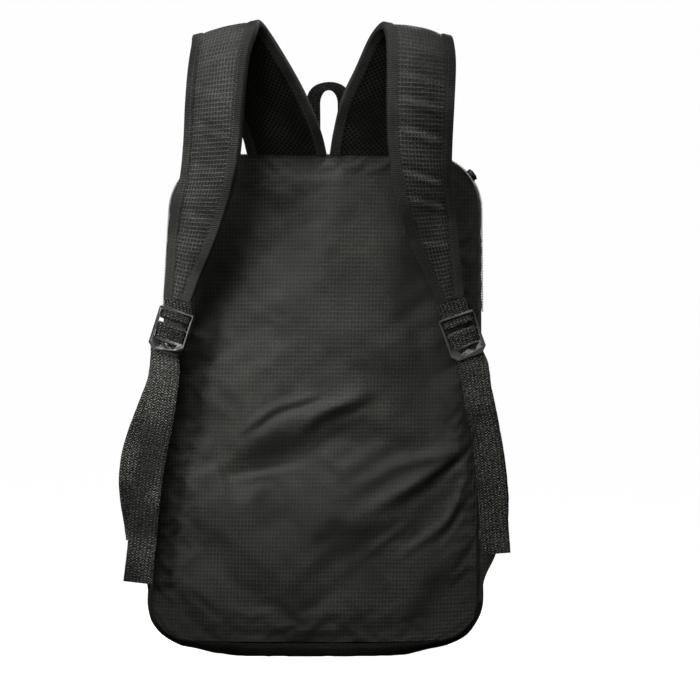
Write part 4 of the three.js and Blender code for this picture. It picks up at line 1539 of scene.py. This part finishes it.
class ShoulderStrap:
    """One padded strap with its mesh lining, bindings and stitches."""

    PUCKERS = {
        Side.LEFT: (
            (0.44, 0.7, 5, -0.3), (0.52, 0.6, 6, 0.35), (0.6, 0.8, 5, 0.4),
            (0.69, 0.7, 6, 0.3), (0.8, 0.6, 5, 0.3),
        ),
        Side.RIGHT: (
            (0.325, 1.0, 5, 0.25), (0.407, 1.2, 5, 0.25), (0.479, 1.3, 4.5, 0.2),
            (0.533, 1.7, 5, 0.2), (0.602, 1.8, 5, 0.25), (0.7, 1.5, 4.5, 0.25),
            (0.76, 1.2, 4.5, 0.25), (0.86, 0.7, 5, 0.2),
        ),
    }

    def __init__(self, side: Side, bag: BagSizes, sizes: StrapSizes, shop: Workshop) -> None:
        """Keeps the sizes and works out the strap's course."""
        self.side = side
        self.bag = bag
        self.sizes = sizes
        self.shop = shop
        self.sections = self._course(np.linspace(0, 1, sizes.rows))

    def _course(self, shares: Array) -> Sections:
        """The strap's sections at shares of its stations.

        Args:
            shares: From 0 at the top seam to 1 at the strap's lower end.

        Returns:
            The sections.
        """
        bag, s, side = self.bag, self.sizes, self.side.value
        lift = s.left_lift if side < 0 else 0.0
        centres, tilts, scales = [], [], []
        for k, (rise, reach, width, loft, left, right, slope, *turns) in enumerate(STRAP_STATIONS):
            free = min(1.0, abs(rise) / s.lift_fade)
            z = bag.height + rise * (s.drop if rise < 0 else s.rise) + lift * free
            place = left if side < 0 else right
            x = place * bag.half_width_high + bag.lean * z / bag.height
            centres.append((x, bag.back_y - reach * s.reach, z))
            tilts.append((slope, turns[0] if side < 0 else turns[1], k))
            scales.append((width, loft, k))
        path = SmoothCurve(centres, centripetal=False)
        degrees = SmoothCurve(tilts).along(shares)
        scale = SmoothCurve(scales).along(shares)
        slope = np.radians(degrees[:, 0]) * -side
        turn = np.radians(degrees[:, 1]) * side
        across = unit(np.stack([np.cos(slope) * np.cos(turn), np.sin(turn), np.sin(slope)], axis=-1))
        out = unit(np.cross(path.tangents(shares), across))
        return Sections(path.along(shares), across, out, s.width / 2 * scale[:, 0], scale[:, 1])

    @property
    def end(self) -> tuple[Array, Array]:
        """The centre and the width's direction at the strap's lower end."""
        last = self._course(np.array([0.9999, 1.0]))
        return last.centre[-1], last.across[-1]

    @property
    def _pad_half(self) -> Array:
        """Half the width of the padding inside its bindings."""
        s = self.sizes
        return self.sections.half - s.binding_thickness - s.binding_gap

    def _weave(self, across: Array) -> Array:
        """Weave coordinates of places across the strap."""
        run = self.sections.run[:, None] + 0 * across
        return np.stack([across, run], axis=-1) * MM

    def build(self) -> None:
        """Makes every piece of the strap."""
        self._pad()
        self._lining()
        lines = []
        for edge in (-1, 1):
            lines += self._binding(edge)
        stitch = Repeat(pitch=3.9, across=0.55, height=0.5, along=2.7, segments=6, rings=5)
        name = f"strap_stitches_{self.side.label}"
        self.shop.finish(RepeatRow(stitch, THREAD.material()).grow(name, lines), THREAD)

    def _pad(self) -> None:
        """Makes the padding with its cloth cover and puckers."""
        s = self.sizes
        shares = np.sin(np.pi / 2 * np.linspace(-1, 1, s.columns))
        half = self._pad_half[:, None]
        across = half * shares
        lip = half - s.binding_width
        inside = np.clip(np.abs(across) / lip, 0, 1)
        crown = s.crown * (1 - inside**2.5)
        rim = np.clip((half - np.abs(across)) / s.rim_radius, 0, 1)
        edge = s.foam_half * (0.35 + 0.65 * np.sqrt(rim * (2 - rim)))
        run = self.sections.run[:, None] + 0 * across
        length = self.sections.run[-1]
        relief = np.zeros_like(run)
        for place, depth, width, slant in self.PUCKERS[self.side]:
            away = (run - place * length - slant * across) / width
            relief += depth * (FOLD_PEAK * away * np.exp(-(away**2)))
        spread = np.clip(1 - inside**4, 0, 1)
        relief = relief * spread
        near = np.exp(-(((lip - np.abs(across)) / 5) ** 2))
        relief += 0.3 * near * spread * SmoothNoise(61 + self.side.value, 9).at(run, across * 0.3)
        relief += 0.18 * spread * SmoothNoise(71 + self.side.value, 26).at(run, across)
        outer = self.sections.at(across, edge + crown + relief)
        inner = self.sections.at(across, -edge)
        name = f"strap_cover_{self.side.label}"
        pad = MeshMaker.shell(name, Grid(outer, self._weave(across)), inner, 70)
        self.shop.finish(pad, STRAP_RIPSTOP, f"strap_pad_{self.side.label}")

    def _lining(self) -> None:
        """Makes the air mesh on the shoulder side."""
        s = self.sizes
        shares = np.linspace(-1, 1, s.mesh_columns)
        across = (self._pad_half[:, None] - s.mesh_inset) * shares
        run = self.sections.run[:, None] + 0 * across
        gap = self.bag.seam_gap
        top = -s.foam_half - gap + 0 * across
        wave = 0.25 * SmoothNoise(81 + self.side.value, 24).at(run, across) * (1 - shares**6)
        outer = self.sections.at(across, top)
        back = self.sections.at(across, top - s.mesh_thickness - wave)
        name = f"strap_lining_{self.side.label}"
        piece = MeshMaker.shell(name, Grid(outer, self._weave(across)), back)
        self.shop.finish(piece, AIR_MESH, f"strap_mesh_{self.side.label}")

    def _binding(self, edge: int) -> list[tuple[Array, Array]]:
        """Makes the tape folded over one edge.

        Args:
            edge: -1 or 1.

        Returns:
            The lines that its stitches follow: points and up directions.
        """
        s, sections = self.sizes, self.sections
        half = self._pad_half[:, None]
        loft = sections.loft[:, None]
        gap = self.bag.seam_gap
        back = -s.foam_half - gap - s.mesh_thickness
        around = np.radians(np.linspace(0, 180, 13))
        ripple = 0.16 * SmoothNoise(91 + edge + 5 * self.side.value, 8).at(
            sections.run[:, None], np.zeros((1, 1)))

        def channel(cover: float) -> Array:
            """The folded tape's points at a height above what it covers."""
            top = s.foam_half + (gap + cover) / loft
            low = back - (gap + cover) / loft
            rim = half + s.binding_gap + cover
            radius = s.binding_radius
            lip = half - s.binding_width + ripple * 2
            flat = np.array([0.0, 0.12, 0.5, 1.0])
            top_across = lip + (rim - radius - lip) * flat
            bend_across = rim - radius + radius * np.sin(around)[None, 1:-1] ** 0.8
            middle, tall = (top + low) / 2, (top - low) / 2
            bend_out = middle + tall * np.cos(around)[None, 1:-1]
            settle = np.array([0.25, 0.0, 0.0, 0.0]) * (cover / s.binding_thickness) / loft
            across = np.concatenate([top_across, bend_across, top_across[:, ::-1]], axis=1)
            out = np.concatenate([top - settle, bend_out, (low + settle)[:, ::-1]], axis=1)
            return sections.at(edge * across, out)

        outer = channel(s.binding_thickness)
        inner = channel(0.0)
        steps = np.linalg.norm(np.diff(outer, axis=1), axis=-1)
        round_run = np.concatenate([np.zeros((len(outer), 1)), np.cumsum(steps, axis=1)], axis=1)
        run = sections.run[:, None] + 0 * round_run
        weave = np.stack([round_run, run], axis=-1) * MM
        place = "outer" if edge == self.side.value else "inner"
        name = f"strap_binding_cloth_{place}_{self.side.label}"
        piece = MeshMaker.shell(name, Grid(outer, weave), inner, 60)
        self.shop.finish(piece, TAPE, f"strap_binding_{place}_{self.side.label}")
        seam = half - s.binding_width + s.stitch_inset
        thickness = gap + s.binding_thickness + 0.1
        top = sections.at(edge * seam, s.foam_half + thickness / loft)[3:-3, 0]
        low = sections.at(edge * seam, back - thickness / loft)[3:-3, 0]
        return [(top, sections.out[3:-3]), (low, -sections.out[3:-3])]


# Flat tapes


@dataclass
class TapeForm:
    """A flat woven tape through places, each a centre and a width direction."""

    places: list[tuple[Array, Array]]
    width: float
    thickness: float
    rows: int

    SPOKE = 450  # length of the width directions while they are made smooth

    def sections(self) -> Sections:
        """The tape's sections."""
        shares = np.linspace(0, 1, self.rows)
        path = SmoothCurve([centre for centre, _ in self.places])
        spokes = SmoothCurve([np.asarray(across) * self.SPOKE for _, across in self.places], False)
        across = unit(spokes.along(shares))
        out = unit(np.cross(path.tangents(shares), across))
        ones = np.ones(self.rows)
        return Sections(path.along(shares), across, out, ones * self.width / 2, ones)

    def build(self, name: str, seed: int, wave: float = 0.12) -> bpy.types.Object:
        """Makes the tape with rounded edges.

        Args:
            name: The object's name.
            seed: Fixes its unevenness.
            wave: How uneven its surface and edges are, in millimetres.

        Returns:
            The object.
        """
        cut = self.sections()
        half, thick = self.width / 2, self.thickness / 2
        flat = np.linspace(-1, 1, 11)
        across = np.concatenate([flat * (half - thick), [half - thick * 0.3, half],
                                 [half - thick * 0.3], flat[::-1] * (half - thick),
                                 [-half + thick * 0.3, -half, -half + thick * 0.3]])
        off = np.concatenate([np.full(11, thick), [thick * 0.75, 0, -thick * 0.75],
                              np.full(11, -thick), [-thick * 0.75, 0, thick * 0.75]])
        run = cut.run[:, None] + 0 * across
        uneven = wave * SmoothNoise(seed, 15).at(run, across + 0 * run)
        edge_wave = 1 + wave * 0.05 * SmoothNoise(seed + 1, 11).at(run, 0 * run)
        ring = cut.at(across * edge_wave, off + uneven)
        weave = np.stack([np.where(off >= 0, across, across + 200) + 0 * run, run], axis=-1) * MM
        return MeshMaker.tube(name, ring, weave, 60)


class LockSet:
    """A ladder lock with the strap's tab, the adjusting webbing and its wing."""

    WING_ROWS = 40
    WING_COLUMNS = 26

    def __init__(
        self, strap: ShoulderStrap, form: BagForm, lock: LockSizes, wing: WingSizes, shop: Workshop
    ) -> None:
        """Keeps the sizes and works out the lock's own axes."""
        self.side = strap.side
        self.form = form
        self.lock = lock
        self.wing = wing
        self.shop = shop
        self.place = LOCK_PLACES[self.side]
        self.strap_end, self.strap_across = strap.end
        side = self.side.value
        angle = math.radians(self.place.tilt)
        self.down = np.array([side * math.sin(angle), 0, -math.cos(angle)])
        self.right = np.array([math.cos(angle), 0, side * math.sin(angle)])
        self.out = np.array([0.0, -1.0, 0.0])
        self.head = self.strap_end + np.array([self.place.aside, lock.inset, -self.place.below])

    def at(self, across: float, down: float, out: float) -> Array:
        """A place in the lock's own axes."""
        return self.head + self.right * across + self.down * down + self.out * out

    def build(self) -> None:
        """Makes every piece of the set."""
        label = self.side.label
        lock = self.shop.softened(f"lock_body_{label}", f"ladder_lock_{label}", 0.5)
        self.shop.finish(lock, LOCK_PLASTIC, f"ladder_lock_{label}")
        tab = self._tab().build(f"tab_webbing_{label}", 101 + self.side.value, 0.08)
        self.shop.finish(tab, WEBBING, f"strap_tab_{label}")
        webbing = self._webbing().build(f"webbing_{label}", 111 + self.side.value)
        self.shop.finish(webbing, WEBBING, f"adjusting_webbing_{label}")
        self._wing_cloth()

    def _round_bar(self, bar: float, radius: float, start: float, end: float, turns: int) -> list:
        """Places of a tape round one of the lock's bars.

        Args:
            bar: The bar's place down the lock.
            radius: The bar's radius.
            start: Where the turn starts, in degrees from the front.
            end: Where it ends.
            turns: How many steps it takes.

        Returns:
            Pairs of centre and width direction.
        """
        lock = self.lock
        reach = radius + lock.clearance + lock.webbing_thickness / 2
        places = []
        for angle in np.radians(np.linspace(start, end, turns + 1)):
            down = bar + reach * math.sin(angle)
            out = reach * math.cos(angle) - lock.bar_sink
            places.append((self.at(self.place.webbing_aside, down, out), self.right))
        return places

    def _tab(self) -> TapeForm:
        """The tab's course: from the strap's end, round the upper bar and back."""
        lock = self.lock
        layer = (lock.webbing_thickness + lock.tab_layer_gap) / 2
        start = self.strap_end + self.down * lock.tab_start
        middle = lock.front - lock.rim_thickness - lock.clearance - lock.webbing_thickness / 2 - layer

        def above(share: float, out: int) -> tuple[Array, Array]:
            """A place of a layer between the strap's end and the lock."""
            way = lerp(start, self.at(0, -lock.tab_start, middle), share)
            return way + self.out * (out * layer), lerp(self.strap_across, self.right, share)

        def neck(out: int) -> tuple[Array, Array]:
            """A place of a layer just inside the lock's upper rim."""
            down = lock.top_rim + lock.clearance
            return self.at(self.place.webbing_aside, down, middle + out * layer), self.right

        turn = self._round_bar(lock.tab_bar_place, lock.tab_bar_radius, 0, 180, 6)
        places = [above(0, 1), above(0.5, 1), above(1, 1), neck(1), *turn]
        places += [neck(-1), above(1, -1), above(0.5, -1), above(0, -1)]
        return TapeForm(places, lock.webbing_width, lock.webbing_thickness, rows=100)

    def _beside(self, out: float, z: float) -> Array:
        """A place beside the bag, at a height and a share of the wing's reach."""
        x = float(self.form.half_width(np.array(z))) + out * self.wing.reach
        lean = self.form.lean_at(z)
        return np.array([self.side.value * x + lean, self.form.sizes.back_y, z])

    def _webbing(self) -> TapeForm:
        """The webbing's course, from the wing through the lock to its free end."""
        lock, side = self.lock, self.side.value
        foot = self.at(0, lock.length, 0)
        sewn = self._beside(0.5, self.wing.sew)
        end = foot + np.array([side * self.place.tail_aside, 0, -self.place.tail_drop])
        reach = self.form.sizes.back_y - self.head[1]

        def free(start: Array, stop: Array, rows: Sequence[tuple]) -> list:
            """Places of the webbing between two ends, as the rows say."""
            centres = []
            for along, bow, out in rows:
                way = lerp(start, stop, along)
                x = way[0] + side * bow * lock.webbing_width
                centres.append(np.array([x, self.form.sizes.back_y - out * reach, way[2]]))
            places = []
            for k, centre in enumerate(centres):
                way = centres[min(k + 1, len(centres) - 1)] - centres[max(k - 1, 0)]
                across = np.array([abs(way[2]), 0, -way[0] * np.sign(way[2])])
                places.append((centre, unit(across)))
            return places

        def inside(rows: Sequence[tuple]) -> list:
            """Places of the webbing in the lock's own axes."""
            aside = self.place.webbing_aside
            return [
                (self.at(aside, down * lock.length, -sink * lock.webbing_thickness), self.right)
                for down, sink in rows
            ]

        places = free(sewn, foot, ANCHORED[self.side]) + inside(INTO_LOCK)
        places += self._round_bar(lock.grip_bar_place, lock.grip_bar_radius, 180, 380, 8)
        places += inside(OUT_OF_LOCK) + free(foot, end, TAIL[self.side])
        return TapeForm(places, lock.webbing_width, lock.webbing_thickness, rows=420)

    def _wing_cloth(self) -> None:
        """Makes the wing as one gathered sheet."""
        wing = self.wing
        shares = np.linspace(0, 1, self.WING_COLUMNS)
        down = np.linspace(0, 1, self.WING_ROWS)
        edges = [
            SmoothCurve([row[k : k + 2] for row in WING_STATIONS]).along(down) for k in (0, 2)
        ]
        away = SmoothCurve([(row[4], k) for k, row in enumerate(WING_STATIONS)])
        off = away.along(down)[:, 0]
        points = np.zeros((self.WING_ROWS, self.WING_COLUMNS, 3))
        for i in range(self.WING_ROWS):
            for j, share in enumerate(shares):
                out, height = lerp(edges[0][i], edges[1][i], share)
                points[i, j] = self._beside(out, lerp(wing.low, wing.high, height))
                points[i, j, 1] -= off[i] * wing.thickness
        noise = SmoothNoise(121 + self.side.value, 16)
        ripple = 0.3 * noise.at(points[..., 0], points[..., 2])
        outer, inner = points.copy(), points.copy()
        outer[..., 1] += ripple - wing.thickness / 2
        inner[..., 1] += ripple + wing.thickness / 2
        weave = points[..., [0, 2]] * MM
        label = self.side.label
        piece = MeshMaker.shell(f"wing_cloth_{label}", Grid(outer, weave), inner)
        self.shop.finish(piece, RIPSTOP, f"webbing_wing_{label}")


class GrabLoop:
    """The webbing loop at the top seam."""

    def __init__(self, sizes: LoopSizes, form: BagForm, shop: Workshop) -> None:
        """Keeps the sizes."""
        self.sizes = sizes
        self.form = form
        self.shop = shop

    def build(self) -> None:
        """Makes the loop."""
        s, bag = self.sizes, self.form.sizes
        spread = (s.hole + s.width) / 2
        leg_top = s.height - s.crest
        rise = s.crest - s.width / 2 * math.cos(math.radians(s.roll))
        centre = s.shift + self.form.lean_at(bag.height)

        def place(aside: float, up: float, angle: float) -> tuple[Array, Array]:
            """A place of the loop and the tape's direction across there."""
            roll = math.radians(s.roll) * math.sin(angle) ** 2
            across = np.array([math.cos(angle) * math.cos(roll), math.sin(roll),
                               math.sin(angle) * math.cos(roll)])
            return np.array([centre + aside, bag.back_y + s.setback, bag.height + up]), across

        legs = [lerp(s.foot, leg_top, k / 3) for k in range(3)]
        bow = [math.pi * k / s.bow_steps for k in range(s.bow_steps + 1)]
        places = [place(spread, up, 0) for up in legs]
        places += [place(spread * math.cos(a), leg_top + rise * math.sin(a), a) for a in bow]
        places += [place(-spread, up, math.pi) for up in reversed(legs)]
        tape = TapeForm(places, s.width, s.thickness, rows=150)
        self.shop.finish(tape.build("grab_webbing", 131, 0.1), LOOP_WEBBING, "grab_loop")


# The set


@dataclass(frozen=True)
class SoftLight:
    """A square light: place, target and side in metres, power in watts, spread in degrees."""

    name: str
    place: tuple[float, float, float]
    target: tuple[float, float, float]
    size: float
    power: float
    spread: float


class Studio:
    """The camera, the lights and the floor."""

    CAMERA_PLACE = (0.033, -2.492, 0.2775)
    LENS = 138.57
    PALE = 0.99
    FLOOR_REACH = 40.0
    LIGHTS = (
        SoftLight("key", (-0.62, -0.95, 1.15), (-0.08, -0.1, 0.42), 0.3, 0.25, 24),
        SoftLight("front", (-0.3, -1.3, 1.1), (-0.06, -0.1, 0.36), 0.3, 0.2, 22),
        SoftLight("top", (0.0, -0.6, 1.6), (-0.04, -0.12, 0.36), 0.3, 0.52, 24),
        SoftLight("low", (-0.9, -1.2, 0.6), (-0.13, -0.13, 0.24), 0.3, 0.36, 20),
        SoftLight("fill", (0.2, -2.1, 0.7), (0.0, 0.0, 0.28), 1.3, 0.95, 40),
        SoftLight("right", (1.9, 0.4, 1.1), (0.1, 0.0, 0.28), 0.8, 0.6, 34),
        SoftLight("left", (-1.9, 0.5, 1.1), (-0.1, 0.0, 0.28), 0.8, 0.9, 34),
        SoftLight("rear", (0.5, 1.8, 1.3), (0.0, 0.0, 0.28), 0.8, 1.4, 34),
    )

    def build(self) -> None:
        """Makes the camera, the lights, the world and the floor."""
        self._camera()
        self._world()
        self._floor()
        for light in self.LIGHTS:
            self._light(light)

    def _camera(self) -> None:
        """Makes the camera at the photograph's viewing angle."""
        data = bpy.data.cameras.new("camera")
        data.lens = self.LENS
        data.sensor_width = 36.0
        data.clip_end = 50.0
        camera = bpy.data.objects.new("camera", data)
        camera.location = self.CAMERA_PLACE
        camera.rotation_euler = (math.pi / 2, 0.0, 0.0)
        bpy.context.scene.collection.objects.link(camera)
        bpy.context.scene.camera = camera

    def _world(self) -> None:
        """Makes the pale surroundings, which are seen but give no light."""
        world = bpy.data.worlds.new("studio")
        world.use_nodes = True
        back = world.node_tree.nodes["Background"]
        back.inputs["Color"].default_value = (1.0, 1.0, 1.0, 1.0)
        back.inputs["Strength"].default_value = self.PALE
        bpy.context.scene.world = world
        seen = world.cycles_visibility
        seen.diffuse = seen.glossy = seen.transmission = seen.scatter = False
        bpy.context.scene.view_settings.view_transform = "Standard"

    @staticmethod
    def _light(light: SoftLight) -> None:
        """Makes one soft light."""
        data = bpy.data.lights.new(light.name, "AREA")
        data.size = light.size
        data.energy = light.power
        data.spread = math.radians(light.spread)
        lamp = bpy.data.objects.new(light.name, data)
        lamp.location = light.place
        way = Vector(light.target) - Vector(light.place)
        lamp.rotation_euler = way.to_track_quat("-Z", "Y").to_euler()
        bpy.context.scene.collection.objects.link(lamp)

    def _floor(self) -> None:
        """Makes the pale floor, as bright as the surroundings that it runs into."""
        mesh = bpy.data.meshes.new("floor")
        signs = ((-1, -1), (1, -1), (1, 1), (-1, 1))
        corners = [(x * self.FLOOR_REACH, y * self.FLOOR_REACH, 0.0) for x, y in signs]
        mesh.from_pydata(corners, [], [(0, 1, 2, 3)])
        floor = MeshMaker.link("floor", mesh)
        floor.visible_glossy = floor.visible_diffuse = False
        paper = bpy.data.materials.new("pale_paper")
        paper.use_nodes = True
        graph = Graph(paper.node_tree)
        shader = paper.node_tree.nodes["Principled BSDF"]
        spot = graph.add("ShaderNodeTexCoord").outputs["Object"]
        tone = graph.mix(graph.noise(spot, 3.0), (0.7, 0.7, 0.7, 1), (0.75, 0.75, 0.75, 1))
        graph.feed(shader.inputs["Base Color"], tone)
        shader.inputs["Roughness"].default_value = 0.9
        shader.inputs["Specular IOR Level"].default_value = 0.0
        shader.inputs["Emission Color"].default_value = (1.0, 1.0, 1.0, 1.0)
        shader.inputs["Emission Strength"].default_value = self.PALE
        mesh.materials.append(paper)


def main() -> None:
    """Builds the looks, one sub-assembly after another."""
    logging.basicConfig(level=logging.INFO, format="%(message)s")
    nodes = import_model()["nodes"]
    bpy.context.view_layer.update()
    shop = Workshop(nodes)
    sizes = BagSizes()
    form = BagForm(sizes)
    Studio().build()
    BagBody(sizes, shop).build()
    for side in Side:
        strap = ShoulderStrap(side, sizes, StrapSizes(), shop)
        strap.build()
        LockSet(strap, form, LockSizes(), WingSizes(), shop).build()
    GrabLoop(LoopSizes(), form, shop).build()
    LOG.info("%d pieces", len(shop.made))
    bpy.context.view_layer.update()


if __name__ == "__main__":
    main()
